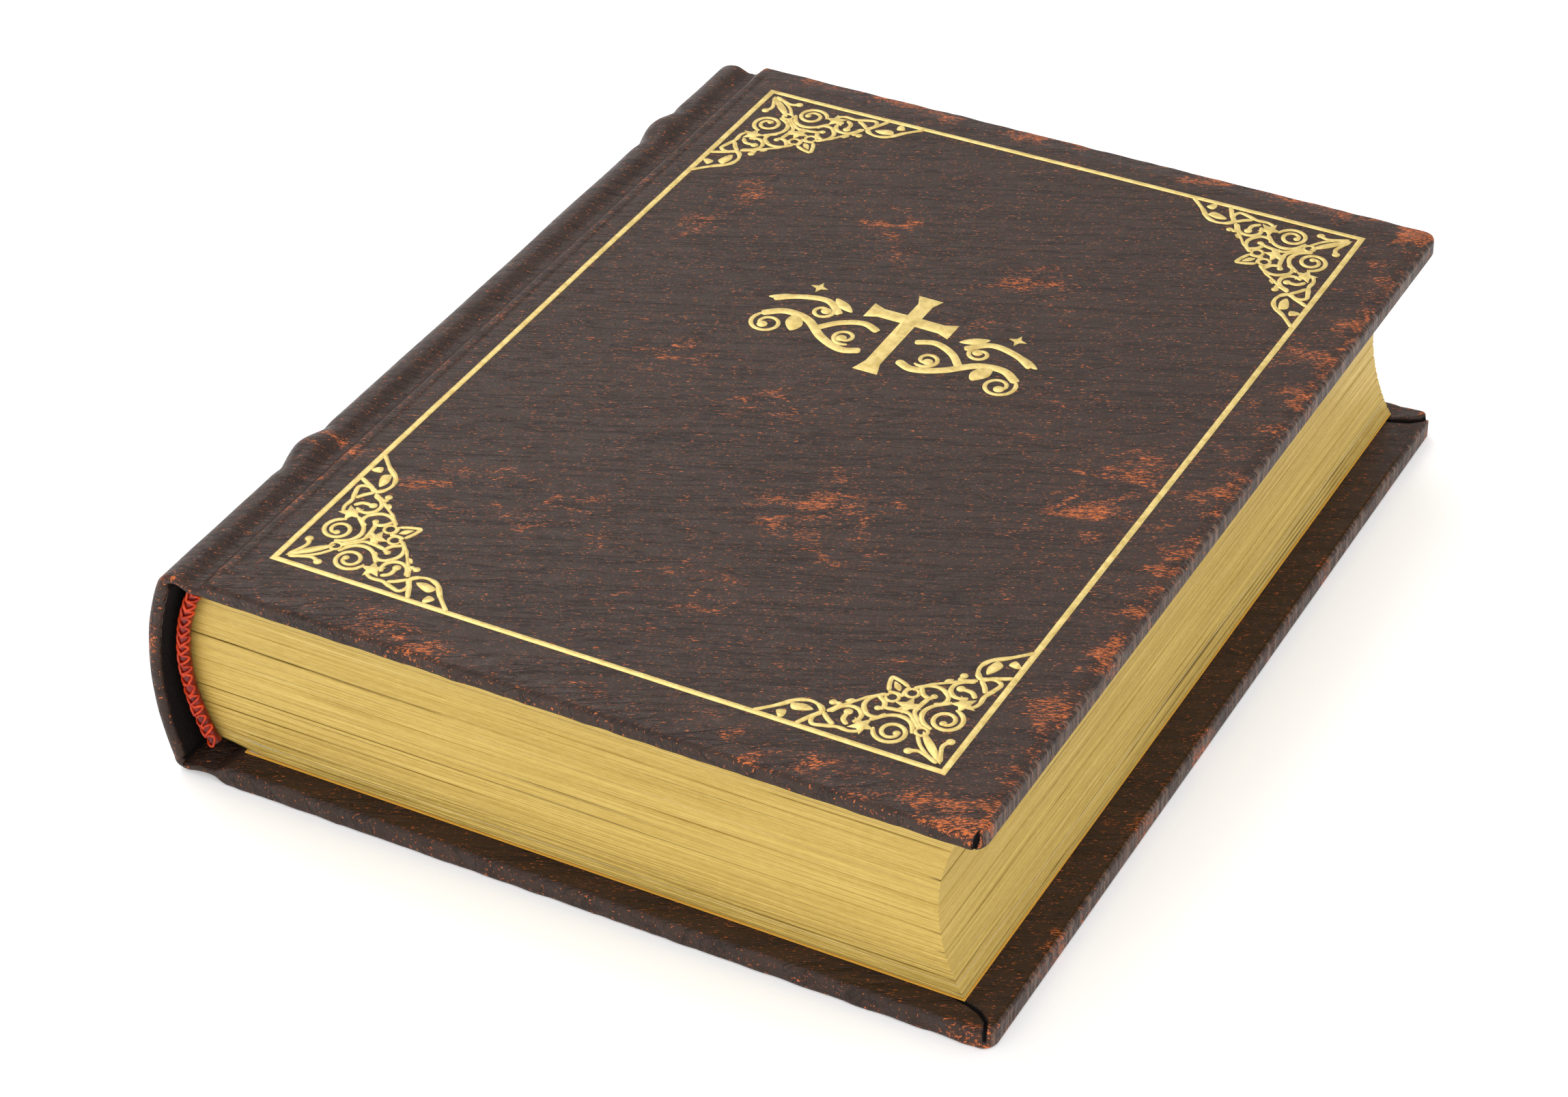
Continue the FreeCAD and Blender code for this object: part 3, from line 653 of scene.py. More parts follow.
def front_top(x, y):
    rise = smoothstep(GROOVE_EDGE, BOARD_EDGE, x)
    crease = 0.22 * bell(x - CREASE_AT, 0.5)
    sides = smoothstep(HALF_HEIGHT, HALF_HEIGHT - 9, np.abs(y))
    level = GROOVE + (FRONT_TOP - GROOVE) * rise
    slope = np.clip((np.abs(y) - (HALF_HEIGHT - EDGE_SLOPE)) / EDGE_SLOPE, 0, 1)
    fore_slope = np.clip((x - (front_high[0] - FORE_SLOPE)) / FORE_SLOPE, 0, 1)
    ridge = 0.14 * bell(y + HALF_HEIGHT - EDGE_SLOPE, 0.55)
    steep = np.where(y > 0, HEAD_SHARE, 1.0)
    fall = np.maximum(EDGE_FALL * slope * steep, FORE_FALL * fore_slope)
    edge = (ridge * (fore_slope == 0) - fall) * rise
    return level + waviness(x, y) * smoothstep(-83, -76, x) - crease * sides + edge


def turned_in(y):
    """1 near the head and tail, where the joint's leather is doubled under."""
    return smoothstep(HALF_HEIGHT - 14, HALF_HEIGHT - 11, np.abs(y))


def window_step(x, y, low, high):
    inside_x = smoothstep(low[0] - 0.1, low[0] + 0.1, x) * smoothstep(high[0] + 0.1, high[0] - 0.1, x)
    inside_y = smoothstep(low[1] - 0.1, low[1] + 0.1, y) * smoothstep(high[1] + 0.1, high[1] - 0.1, y)
    return inside_x * inside_y


PASTE_RECESS = 0.9  # how deep the board's inside lies under the pastedown


def front_under(x, y):
    strip = JOINT_UNDER - 1.1 * turned_in(y)
    level = FRONT_UNDER + (strip - FRONT_UNDER) * smoothstep(UNDER_BOARD, UNDER_STRIP, x)
    return level + PASTE_RECESS * window_step(x, y, front_paste_low, front_paste_high)


COVER_DENSE_V = [(edge - 0.2, edge + 0.25, 0.1) for edge in (front_paste_low[1], front_paste_high[1])]
COVER_DENSE_V += [
    (-HALF_HEIGHT + 4.4, -HALF_HEIGHT + 6.5, 0.35),
    (HALF_HEIGHT - 6.5, HALF_HEIGHT - 4.4, 0.35),
]
FOLD_DENSE_V = [(-HALF_HEIGHT + 0.4, -112.4, 0.2), (112.4, HALF_HEIGHT - 0.4, 0.2)]
vs_cover = grid_lines(-HALF_HEIGHT, HALF_HEIGHT, 1.7, True, True, COVER_DENSE_V)
vs_back = grid_lines(-HALF_HEIGHT, HALF_HEIGHT, 1.7, True, True, COVER_DENSE_V[:2] + FOLD_DENSE_V)


def edge_wear(points, fore, tail_weight, fore_weight):
    """Rubbing along a cover's edges, strongest at the fore edge and the corners."""
    x, y, z = points.T
    to_fore = smoothstep(fore - 17, fore - 1, x) * fore_weight
    to_tail = smoothstep(-HALF_HEIGHT + 13, -HALF_HEIGHT + 1, y) * tail_weight
    to_head = smoothstep(HALF_HEIGHT - 9, HALF_HEIGHT - 1, y) * 0.35
    return to_fore + to_tail + to_head


# Worn patches on the front cover: centre x and y, half width along X and Y, strength.
PATCHES = [
    (-54, 66, 9, 16, 0.55),
    (-57, 43, 6, 12, 0.32),
    (-18, 64, 14, 10, 0.48),
    (24, 57, 14, 9, 0.62),
    (71, -10, 11, 20, 0.85),
    (24, -43, 15, 15, 0.80),
    (-28, -66, 18, 14, 0.52),
    (-38, 2, 11, 14, 0.42),
    (-6, -13, 15, 12, 0.45),
    (60, -78, 20, 18, 0.30),
    (78, 40, 9, 34, 0.35),
    (12, -86, 20, 12, 0.30),
    (48, 14, 14, 18, 0.25),
    (-46, -30, 9, 18, 0.40),
    (54, 78, 12, 10, 0.25),
]
PATCH_WEAR = 0.50  # wear in the middle of a patch of strength 1


def front_wear_and_shade(points):
    x, y, z = points.T
    total = edge_wear(points, front_high[0], 0.08, 0.32) * smoothstep(-79, -70, x)
    for cx, cy, wide, tall, strength in PATCHES:
        patch = np.exp(-(((x - cx) / wide) ** 2) - ((y - cy) / tall) ** 2)
        total = total + PATCH_WEAR * strength * patch
    at_tail = bell(y + HALF_HEIGHT - 4, 6) * smoothstep(50.5, 53.5, z)
    total = total + at_tail * (0.27 * smoothstep(10, 50, x) + 0.32 * bell(x + 38, 14))
    total = total + 0.22 * bell(x - 93, 9) * bell(y - 117, 9)
    by_slit = bell(x - SLIT_AT - 1.2, 1.5) * smoothstep(-112, -118, y)
    total = total + 0.25 * bell(x + 79, 1.5) + 0.3 * by_slit
    title = bell(x - 5, 40) * bell(y - 26, 22)
    total = np.clip(total * (1 - 0.45 * title), 0, 0.9)
    total = total * (1 - 0.55 * smoothstep(front_high[0] - 1.1, front_high[0] - 0.5, x))
    # Painted shade on the cover's lower face, which faces down on to the leaves.
    under = smoothstep(FRONT_UNDER + 1.6, FRONT_UNDER + 0.4, z) * 0.35
    # The slit's inside is also painted dark, as shade, by a value below zero.
    return total * (1 - under) - under - 1.6 * slit(points)


dense_u = [
    (SEAM, -76.0, 0.3), (front_paste_high[0] - 0.2, front_paste_high[0] + 0.25, 0.1),
    (SLIT_AT - 1.0, SLIT_AT + 1.7, 0.11),
]
us_front = grid_lines(SEAM, front_high[0], 1.7, False, True, dense_u)
points, faces = skin(us_front, vs_cover, front_top, front_under)
opened = slit(points)
points = board_relief(points, 11)
points[:, 1] -= np.sign(points[:, 1]) * 0.70 * opened
points[:, 0] -= 0.35 * opened
front_skin = new_object("front_cover_skin", points, faces)
front_skin.data.materials.append(LEATHER)
add_rest(front_skin, front_wear_and_shade, front_high[0])
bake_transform(front_skin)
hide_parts("front_cover_leather")


# The back cover: its inner face is up. The rear joint runs on to the spine's heel.

HEEL_SEAM = -92.05
REAR_OUTSIDE = 0.75
BACK_TOP, BACK_UNDER = back_high[2], back_low[2]
STRIP_EDGE, BACK_BOARD_EDGE = -84.5, -80.0  # the leather climbs from the joint's strip to the board


def back_top(x, y):
    strip = REAR_OUTSIDE + 1.35 + 0.9 * turned_in(y) * smoothstep(-92, -88, x)
    level = strip + (BACK_TOP - strip) * smoothstep(STRIP_EDGE, BACK_BOARD_EDGE, x)
    rub = waviness(x * 1.3, y) * 0.35 * smoothstep(-84, -78, x)
    height, _, _ = fold(x, y)
    return level - 0.06 + rub + height - PASTE_RECESS * window_step(x, y, back_paste_low, back_paste_high)


def back_under(x, y):
    notch = 0.85 * smoothstep(-91.5, -87, x) * smoothstep(-81.0, -85.0, x)
    return BACK_UNDER + REAR_OUTSIDE * smoothstep(-80.5, -85.5, x) + notch


def back_wear_and_shade(points):
    x, y, z = points.T
    rim = smoothstep(3.4, 1.0, z) * 0.08
    _, dark, rubbed = fold(x, y)
    edges = edge_wear(points, back_high[0], 0.05, 0.28) * 0.5
    total = np.clip(edges + rim + 0.15 * rubbed, 0, 1.2)
    # Painted shade: the inner face by the head and tail, away from the fore edge, is drawn darker.
    inside = smoothstep(4.0, 5.0, z) * smoothstep(HALF_HEIGHT - 1, HALF_HEIGHT - 4, np.abs(y))
    shaded = 0.30 * inside * smoothstep(back_high[0] - 1, back_high[0] - 5, x)
    # The fold's gap is painted near black, as shade.
    return total * (1 - 0.5 * shaded) - shaded * 0.8 - 1.7 * dark * smoothstep(1.2, 2.4, z)


dense_u = [
    (HEEL_SEAM, -78.0, 0.4), (back_paste_high[0] - 0.2, back_paste_high[0] + 0.25, 0.1),
    (86.8, back_high[0] - 0.5, 0.2),
]
us_back = grid_lines(HEEL_SEAM, back_high[0], 1.7, False, True, dense_u)
points, faces = skin(us_back, vs_back, back_top, back_under)
_, opened, _ = fold(points[:, 0], points[:, 1])
at_end = smoothstep(HALF_HEIGHT - 1.8, HALF_HEIGHT - 0.9, np.abs(points[:, 1]))
opened *= at_end * smoothstep(0.8, 2.6, points[:, 2])
points = board_relief(points, 31)
points[:, 1] -= np.sign(points[:, 1]) * 0.75 * opened
back_skin = new_object("back_cover_skin", points, faces)
back_skin.data.materials.append(LEATHER)
add_rest(back_skin, back_wear_and_shade, back_high[0])
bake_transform(back_skin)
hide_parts("back_cover_leather", "back_joint_leather")


# The spine: one curve from the heel to the middle of the front groove, cut in two at its middle.

LONG_RADIUS, LONG_HEIGHT = 68.0, 24.0
HEEL_RADIUS, SHOULDER_RADIUS = 2.6, 6.0
SHOULDER_TOP = spine_high[2]
CURVE_STEP = 0.25
SPINE_STEP = 0.2
SPLIT_HEIGHT = 27.5  # where the spine's skin is cut in two


def arc_points(centre, radius, start, end):
    count = max(3, int(abs(end - start) * radius / CURVE_STEP))
    angles = np.linspace(start, end, count)
    return np.stack([centre[0] - radius * np.cos(angles), centre[1] + radius * np.sin(angles)], -1)


def spine_line():
    """The outer face's section, from the heel seam to the groove seam, evenly spaced."""
    long_centre = (SPINE_REACH + LONG_RADIUS, LONG_HEIGHT)

    def corner(radius, height):
        reach = LONG_RADIUS - radius
        angle = math.asin((height - LONG_HEIGHT) / reach)
        return (long_centre[0] - reach * math.cos(angle), height), angle

    heel_centre, heel_angle = corner(HEEL_RADIUS, REAR_OUTSIDE + HEEL_RADIUS)
    crest_centre, crest_angle = corner(SHOULDER_RADIUS, SHOULDER_TOP - SHOULDER_RADIUS)
    steps = np.linspace(0, 1, 14)
    crest_x = crest_centre[0]
    drop = smoothstep(0, 1, steps)
    groove_x = crest_x + (SEAM - crest_x) * steps
    groove = np.stack([groove_x, SHOULDER_TOP + (GROOVE - SHOULDER_TOP) * drop], -1)
    line = np.concatenate([
        arc_points(heel_centre, HEEL_RADIUS, -math.pi / 2, heel_angle),
        arc_points(long_centre, LONG_RADIUS, heel_angle, crest_angle)[1:],
        arc_points(crest_centre, SHOULDER_RADIUS, crest_angle, math.pi / 2)[1:],
        groove[1:],
    ])
    length = np.concatenate([[0], np.cumsum(np.hypot(*np.diff(line, axis=0).T))])
    even = np.linspace(0, length[-1], int(length[-1] / SPINE_STEP))
    line = np.stack([np.interp(even, length, line[:, k]) for k in (0, 1)], -1)
    return even, line


spine_at, spine_xz = spine_line()
SPINE_LENGTH = spine_at[-1]
rising = len(spine_xz) // 2 + 60  # the part of the curve that only climbs
SPINE_MIDDLE = float(np.interp(SPLIT_HEIGHT, spine_xz[:rising, 1], spine_at[:rising]))
tangent = np.gradient(spine_xz, axis=0)
tangent /= np.hypot(*tangent.T)[:, None]
spine_normal = np.stack([-tangent[:, 1], tangent[:, 0]], -1)
kernel = np.hanning(13) / np.hanning(13).sum()
padded = np.pad(spine_normal, ((6, 6), (0, 0)), mode="edge")
spine_normal = np.stack([np.convolve(padded[:, k], kernel, mode="valid") for k in (0, 1)], -1)
spine_normal /= np.hypot(*spine_normal.T)[:, None]


def on_spine(points):
    """From (distance round the spine, y, height above the leather's face) to the frame."""
    s, y, h = points.T
    x = np.interp(s, spine_at, spine_xz[:, 0]) + h * np.interp(s, spine_at, spine_normal[:, 0])
    z = np.interp(s, spine_at, spine_xz[:, 1]) + h * np.interp(s, spine_at, spine_normal[:, 1])
    return np.stack([x, y, z], -1)


def band_shape(s, y):
    """The two raised bands, fading into the groove and above the heel."""
    fade = smoothstep(5.5, 12, s) * smoothstep(SPINE_LENGTH - 0.3, SPINE_LENGTH - 8, s)
    total = 0
    for middle in BAND_MIDDLES:
        away = y - middle
        hump = 0.60 * bell(away, 8.5) + 0.90 * bell(away, 4.0)
        hollows = 0.42 * (bell(away - 8.0, 2.4) + bell(away + 8.0, 2.4))
        total = total + hump - hollows
    return total * fade


def spine_top(s, y):
    fade = smoothstep(0, 4, s) * smoothstep(SPINE_LENGTH, SPINE_LENGTH - 4, s)
    wave = value_noise(s / 14, y / 22, 0, 9) * 0.16 + value_noise(s / 3, y / 9, 0, 8) * 0.05
    return band_shape(s, y) + wave * fade


def spine_under(s, y):
    """The lining side: thick where the stiffener is wrapped in, thin at the two lips."""
    ends = turned_in(y)
    body = smoothstep(1.8, 4.3, s) * smoothstep(SPINE_LENGTH - 8.5, SPINE_LENGTH - 11.3, s)
    joint = smoothstep(SPINE_LENGTH - 8, SPINE_LENGTH - 4, s)
    thin = 1.2 + (0.9 * (1 - joint) + 1.1 * joint) * ends
    return -(thin * (1 - body) + (1.22 + 1.98 * ends) * body)


def spine_wear_and_shade(points, height):
    x, y, z = points.T
    ends = smoothstep(HALF_HEIGHT - 3.5, HALF_HEIGHT - 0.5, np.abs(y)) * 0.22
    total = ends * smoothstep(10, 40, z)
    # Painted shade on the lining side of the leather near the head and tail, inside the spine's hollow.
    inside = smoothstep(-0.8, -1.2, height) * smoothstep(HALF_HEIGHT, HALF_HEIGHT - 1.5, np.abs(y))
    for middle, rub in zip(BAND_MIDDLES, (0.32, 0.1)):
        beside = bell(y - middle - 4.0, 3.0) * smoothstep(44, 51, z)
        total = total + 0.25 * bell(y - middle, 1.8) + rub * beside
    return np.clip(total, 0, 1.2) * (1 - inside) - 0.75 * inside


dense_v = [(m - 9, m + 9, 0.8) for m in BAND_MIDDLES]
vs_spine = grid_lines(-HALF_HEIGHT, HALF_HEIGHT, 1.9, True, True, dense_v)


def spine_half(name, s_low, s_high, replaced):
    dense_s = [(0, 7, 0.4), (SPINE_LENGTH - 9, SPINE_LENGTH, 0.35)]
    us = grid_lines(s_low, s_high, 0.9, False, False, dense_s)
    points, faces = skin(us, vs_spine, spine_top, spine_under, False, LIP_ROUND)
    height = points[:, 2]
    piece = new_object(name, on_spine(points), faces)
    piece.data.materials.append(LEATHER)
    add_rest(piece, lambda places: spine_wear_and_shade(places, height))
    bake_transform(piece)
    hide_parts(*replaced)


spine_half(
    "spine_skin_lower", 0, SPINE_MIDDLE,
    ["spine_leather"],
)
spine_half(
    "spine_skin_upper", SPINE_MIDDLE, SPINE_LENGTH,
    ["spine_leather", "front_joint_leather"],
)


# ---- the leaves ----


def sagitta(rise, half_chord):
    return (rise**2 + half_chord**2) / (2 * rise)


BACK_RADIUS = sagitta(BACK_SHOULDER - BACK_CROWN, BLOCK_HALF)
FORE_RADIUS = sagitta(FORE_RIM - FORE_HOLLOW, BLOCK_HALF)
BACK_AXIS = BACK_CROWN + BACK_RADIUS


def back_x(z):
    return BACK_AXIS - np.sqrt(BACK_RADIUS**2 - (z - BLOCK_MIDDLE) ** 2)


def fore_x(z):
    return FORE_HOLLOW + FORE_RADIUS - np.sqrt(FORE_RADIUS**2 - (z - BLOCK_MIDDLE) ** 2)


# Where the block falls open a little, as (height, depth): a dark line runs along its cut edges, partly
# shade and partly painted shade in the gilt edge's colour.
OPEN_GAPS = [
    (6.7, 0.42), (7.4, 0.30), (8.3, 0.46), (9.6, 0.25),
    (10.9, 0.35), (13.1, 0.22), (16.2, 0.46), (20.6, 0.18),
    (23.9, 0.34), (30.1, 0.20), (34.2, 0.46), (35.6, 0.18),
    (38.9, 0.24), (42.4, 0.46), (45.1, 0.22), (46.9, 0.36),
]


def edge_relief(z, along, face):
    """How far the cut edges stand back: fine leaf lines, and now and then an open gap."""
    level = z + 0.22 * value_noise(along / 48, face * 9, z / 9, 24)
    loose_low = smoothstep(15, 8, z)
    fine = np.abs(value_noise(level * 5.3, along / 55, face * 7, 21)) * (0.07 + 0.12 * loose_low)
    medium = np.maximum(value_noise(level * 1.45, along / 90, face * 7, 22) - 0.25, 0) * 0.10
    open_gap = 0
    for number, (height, deep) in enumerate(OPEN_GAPS):
        shown = smoothstep(-0.35, 0.25, value_noise(along / 60, number * 3.7, face * 3, 25))
        open_gap = np.maximum(open_gap, bell(level - height, 0.11) * shown * deep)
    return fine + medium + open_gap


def shoulder_curve(x, z):
    """How far the outermost leaves curve in towards the sewn back."""
    near_back = smoothstep(-73, BACK_SHOULDER - 1, x)
    up = 1.7 * smoothstep(13, BLOCK_LOW, z)
    down = 0.7 * smoothstep(BLOCK_HIGH - 6, BLOCK_HIGH, z)
    return near_back * (up - down)


TAIL_POINTS, FORE_POINTS, BACK_POINTS = 56, 78, 40  # round the outline of the leaves


def leaves(name, node, z_low, z_high, levels, body, seed):
    """A bunch of leaves between two heights, gilt on its three cut edges and folded at the back."""
    draw = random.Random(seed)
    top_inset = draw.uniform(0.03, 0.30)
    low_inset = draw.uniform(0.03, 0.18)
    rows, depths = [], []
    for k in range(levels + 1):
        share = k / levels
        z = z_low + (z_high - z_low) * share
        spread = abs(2 * share - 1) ** 5 * 0.45
        left, right = back_x(z) + spread + 0.04, fore_x(z)
        edge = top_inset * max(0, share * 8 - 7) + low_inset * max(0, 1 - share * 8)
        along_x = np.linspace(left, right, TAIL_POINTS, endpoint=False)
        along_y = np.linspace(BLOCK_TAIL, BLOCK_HEAD, FORE_POINTS, endpoint=False)
        back_y = np.linspace(BLOCK_HEAD, BLOCK_TAIL, BACK_POINTS, endpoint=False)
        tail_in = edge_relief(z, along_x, 0) + edge
        fore_in = edge_relief(z, along_y, 1) + edge
        head_in = edge_relief(z, along_x, 2) + edge
        tail_line = np.stack([along_x, BLOCK_TAIL + tail_in], -1)
        fore_line = np.stack([right - fore_in, along_y], -1)
        fore_line[0] = (right - fore_in[0], BLOCK_TAIL + tail_in[-1])
        head_line = np.stack([along_x + right - along_x[-1], BLOCK_HEAD - head_in], -1)[::-1]
        head_line[0] = (right - fore_in[-1], BLOCK_HEAD - head_in[-1])
        head_line[-1] = (left, BLOCK_HEAD - head_in[0])
        back_line = np.stack([np.full(BACK_POINTS - 1, left), back_y[1:]], -1)
        ring = np.concatenate([tail_line, fore_line, head_line, back_line])
        rows.append(np.column_stack([ring, z + shoulder_curve(ring[:, 0], z)]))
        depths.append(np.concatenate([tail_in, fore_in, head_in[::-1], np.zeros(BACK_POINTS - 1)]))
    count = len(rows[0])
    verts = np.concatenate(rows)
    index = np.arange(len(verts)).reshape(levels + 1, count)
    sides = strips(index[:-1], index[1:])
    faces = sides + caps(index)
    piece = new_object(name, verts, faces, smooth_angle=35)
    piece.data.materials.append(GILT_EDGE)
    piece.data.materials.append(LEAF_PAPER)
    for polygon in piece.data.polygons:
        cut_edge = polygon.index < len(sides) and polygon.index % count < count - BACK_POINTS
        polygon.material_index = 0 if cut_edge else 1
    # The depth is also read by the gilt edge's material to paint shade where the edges stand back.
    keep(piece.data, "depth", "FLOAT", "value", np.concatenate(depths).astype(np.float32))
    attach(piece, body)
    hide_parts(node)


LEVELS = 20
GAP_LOW, GAP_HIGH = corners("section_08")[1][2], corners("section_07")[0][2]
for number in range(1, 15):
    node_name = f"section_{number:02d}"
    node_low, node_high = corners(node_name)
    owner = "front_leaves" if number <= 7 else "rear_leaves"
    leaves(f"{node_name}_leaves", node_name, node_low[2], node_high[2], LEVELS, owner, number)
for number in (1, 2, 3):
    node_name = f"loose_leaves_{number}"
    share = (GAP_HIGH - GAP_LOW) / 3
    sheet_span = (GAP_LOW + (number - 1) * share + 0.01, GAP_LOW + number * share - 0.01)
    leaves(f"{node_name}_sheet", node_name, *sheet_span, 4, f"loose_sheet_{number}", 40 + number)


# ---- endbands ----


def tube(path, radius, sides=8, closed=True):
    """Vertices and faces of a round tube along a path."""
    path = np.asarray(path, float)
    ahead = np.roll(path, -1, 0) - np.roll(path, 1, 0)
    if not closed:
        ahead[0], ahead[-1] = path[1] - path[0], path[-1] - path[-2]
    ahead /= np.linalg.norm(ahead, axis=1)[:, None]
    up = np.array([0.0, 1.0, 0.0])
    side = np.cross(ahead, up)
    weak = np.linalg.norm(side, axis=1) < 0.2
    side[weak] = np.cross(ahead[weak], np.array([1.0, 0.0, 0.0]))
    side /= np.linalg.norm(side, axis=1)[:, None]
    over = np.cross(side, ahead)
    turns = np.linspace(0, 2 * math.pi, sides, endpoint=False)
    radii = np.broadcast_to(np.asarray(radius, float), (len(path),))
    rings = (
        path[:, None] + radii[:, None, None]
        * (np.cos(turns)[None, :, None] * side[:, None] + np.sin(turns)[None, :, None] * over[:, None])
    )
    verts = rings.reshape(-1, 3)
    index = np.arange(len(verts)).reshape(len(path), sides)
    near = index if closed else index[:-1]
    far = np.roll(index, -1, 0) if closed else index[1:]
    quads = strips(near, far)
    if not closed:
        quads += caps(index)
    return verts, quads


def merge(parts):
    """Several (vertices, faces) as one."""
    verts, faces, count = [], [], 0
    for part_verts, part_faces in parts:
        verts.append(part_verts)
        faces += [[i + count for i in face] for face in part_faces]
        count += len(part_verts)
    return np.concatenate(verts), faces


BEAD = 1.45  # the wound cord inside the loops
BEAD_INSET = 1.55  # from the back of the leaves in to the middle of the cord
LOOP_PITCH = 2.5
ENDBAND_NEAR, ENDBAND_FAR = 0.12, 29.5  # an endband half's ends on the back's curve, degrees


def heart(kind):
    """A loop of silk seen from the end of the book, as (along, across) from -1 to 1."""
    t = np.linspace(0, 2 * math.pi, 26, endpoint=False)
    across = np.sin(t) ** 3
    along = (13 * np.cos(t) - 5 * np.cos(2 * t) - 2 * np.cos(3 * t) - np.cos(4 * t)) / 14.5
    round_across, round_along = np.sin(t), np.cos(t)
    return along * kind + round_along * (1 - kind), across * kind + round_across * (1 - kind)


def endband(place, part):
    """Half of an endband: a cord along the back's curve under overlapping silk loops."""
    node_name = f"{place}_endband_{part}"
    node_low, node_high = corners(node_name)
    outward = -1 if place == "tail" else 1
    y_middle = (node_low[1] + node_high[1]) / 2
    reach = BACK_RADIUS - BEAD_INSET
    near, far = math.radians(ENDBAND_NEAR), math.radians(ENDBAND_FAR)
    low, high = (-far, -near) if part == "lower" else (near, far)
    angles = np.linspace(low, high, 60)

    def spot(angle, along, out, lift):
        """A point near the cord: along the curve, away from the back, and out from the leaves."""
        ring = reach + out
        turned = angle + along / reach
        return np.stack([
            BACK_AXIS - ring * np.cos(turned),
            y_middle + outward * lift,
            BLOCK_MIDDLE + ring * np.sin(turned),
        ], -1)

    path = spot(angles, 0 * angles, 0 * angles, 0 * angles)
    core = tube(path, BEAD * 0.94, 14, closed=False)
    draw = random.Random(f"{place}{part}")
    loops = []
    count = int((high - low) * reach / LOOP_PITCH)
    for i in range(count):
        share = (i + 0.5) / count
        angle = low + (high - low) * share
        kind = draw.uniform(0.35, 1.0)
        along, across = heart(kind)
        turn = draw.uniform(-0.35, 0.35)
        long = 1.32 * draw.uniform(0.9, 1.08)
        wide = 1.45 * draw.uniform(0.92, 1.05)
        a = long * (along * math.cos(turn) - across * math.sin(turn))
        c = wide * (across * math.cos(turn) + along * math.sin(turn)) + draw.uniform(-0.12, 0.12)
        c = np.clip(c, -BEAD, BEAD)
        lift = np.sqrt(np.maximum(BEAD**2 - c**2, 0.04)) + 0.12 - 0.12 * along
        loops.append(tube(spot(angle, a, c, lift), draw.uniform(0.25, 0.33), 8))
    verts, faces = merge([core, *loops])
    piece = new_object(f"{place}_endband_{part}_silk", verts, faces)
    piece.data.materials.append(SILK_CORE)
    piece.data.materials.append(SILK_RIM)
    core_faces = len(core[1])
    for polygon in piece.data.polygons:
        polygon.material_index = 0 if polygon.index < core_faces else 1
    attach(piece, "rear_leaves" if part == "lower" else "front_leaves")
    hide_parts(node_name)


for end_name in ("tail", "head"):
    for part_name in ("lower", "upper"):
        endband(end_name, part_name)


# ---- gold tooling on the front cover ----

FILLET_LOW = (-72.3, -108.0)
FILLET_HIGH = (82.8, 110.0)
FILLET_WIDTH = 1.4
GILT_RISE = 0.13  # gold above the leather
GILT_ROOT = 0.30  # gold below the leather's face, out of sight
GILT_FOOT = 0.02  # where the gold's sides begin to slope in


def cover_height(x, y):
    return front_top(np.asarray(x, float), np.asarray(y, float))


def through(points, closed=False, step=0.28):
    """A smooth line through the points."""
    points = np.asarray(points, float)
    if closed:
        padded_points = np.concatenate([points[-1:], points, points[:2]])
    else:
        first, last = 2 * points[0] - points[1], 2 * points[-1] - points[-2]
        padded_points = np.concatenate([[first], points, [last]])
    line = []
    for a, b, c, d in zip(padded_points, padded_points[1:], padded_points[2:], padded_points[3:]):
        count = max(2, int(np.hypot(*(c - b)) / step))
        for t in np.arange(count) / count:
            line.append(0.5 * (2 * b + (c - a) * t + (2 * a - 5 * b + 4 * c - d) * t**2
                               + (3 * b - a - 3 * c + d) * t**3))
    if not closed:
        line.append(points[-1])
    return np.array(line)


def line_section(half, shoulder, rise, crown=None):
    """The section of a gold line, as (across, height above the leather)."""
    left = [(-half, -GILT_ROOT), (-half, GILT_FOOT), (-shoulder, rise)]
    top = [] if crown is None else [(0.0, crown)]
    return left + top + [(-across, height) for across, height in reversed(left)]


def ribbon(line, widths, rise=GILT_RISE):
    """A raised gold line with sloping sides and rounded ends, as (x, y, height above the leather)."""
    ahead = np.gradient(line, axis=0)
    ahead /= np.maximum(np.hypot(*ahead.T), 1e-9)[:, None]
    side = np.stack([-ahead[:, 1], ahead[:, 0]], -1)
    widths = np.broadcast_to(np.asarray(widths, float), (len(line),)).copy()
    taper = np.array([0.55, 0.85])
    widths[:2] *= taper
    widths[-2:] *= taper[::-1]
    rows = []
    for across, height in line_section(0.5, 0.34, rise, rise * 1.25):
        place_xy = line + side * (across * widths)[:, None]
        rows.append(np.column_stack([place_xy, np.full(len(line), height)]))
    index = np.arange(len(line) * len(rows)).reshape(len(line), len(rows))
    verts = np.stack(rows, 1).reshape(-1, 3)
    return verts, strips(index[:-1], index[1:]) + caps(index)


def raised(*rings):
    """A raised gold shape from rings of one length, each given as (line, height)."""
    levels = [np.column_stack([line, np.full(len(line), height)]) for line, height in rings]
    verts = np.concatenate(levels)
    index = np.arange(len(verts)).reshape(len(rings), -1)
    return verts, strips(index[:-1], index[1:]) + caps(index)


def filled(outline, rise=GILT_RISE, smooth=True, bevel=0.86):
    """A raised gold shape with sloping sides."""
    line = through(outline, closed=True) if smooth else np.asarray(outline, float)
    middle = line.mean(0)
    inner = middle + (line - middle) * bevel
    return raised((line, -GILT_ROOT), (line, GILT_FOOT), (inner, rise))


STROKE = 1.08  # width of a spiral's line


def around(centre, radii, angles):
    """Points round a centre."""
    radii = np.reshape(radii, (-1, 1))
    return np.asarray(centre, float) + radii * np.stack([np.cos(angles), np.sin(angles)], -1)


def disc(centre, radius, rise=GILT_RISE * 1.15):
    outline = around(centre, radius, np.linspace(0, 2 * math.pi, 14, endpoint=False))
    return filled(outline, rise, smooth=False, bevel=0.74)


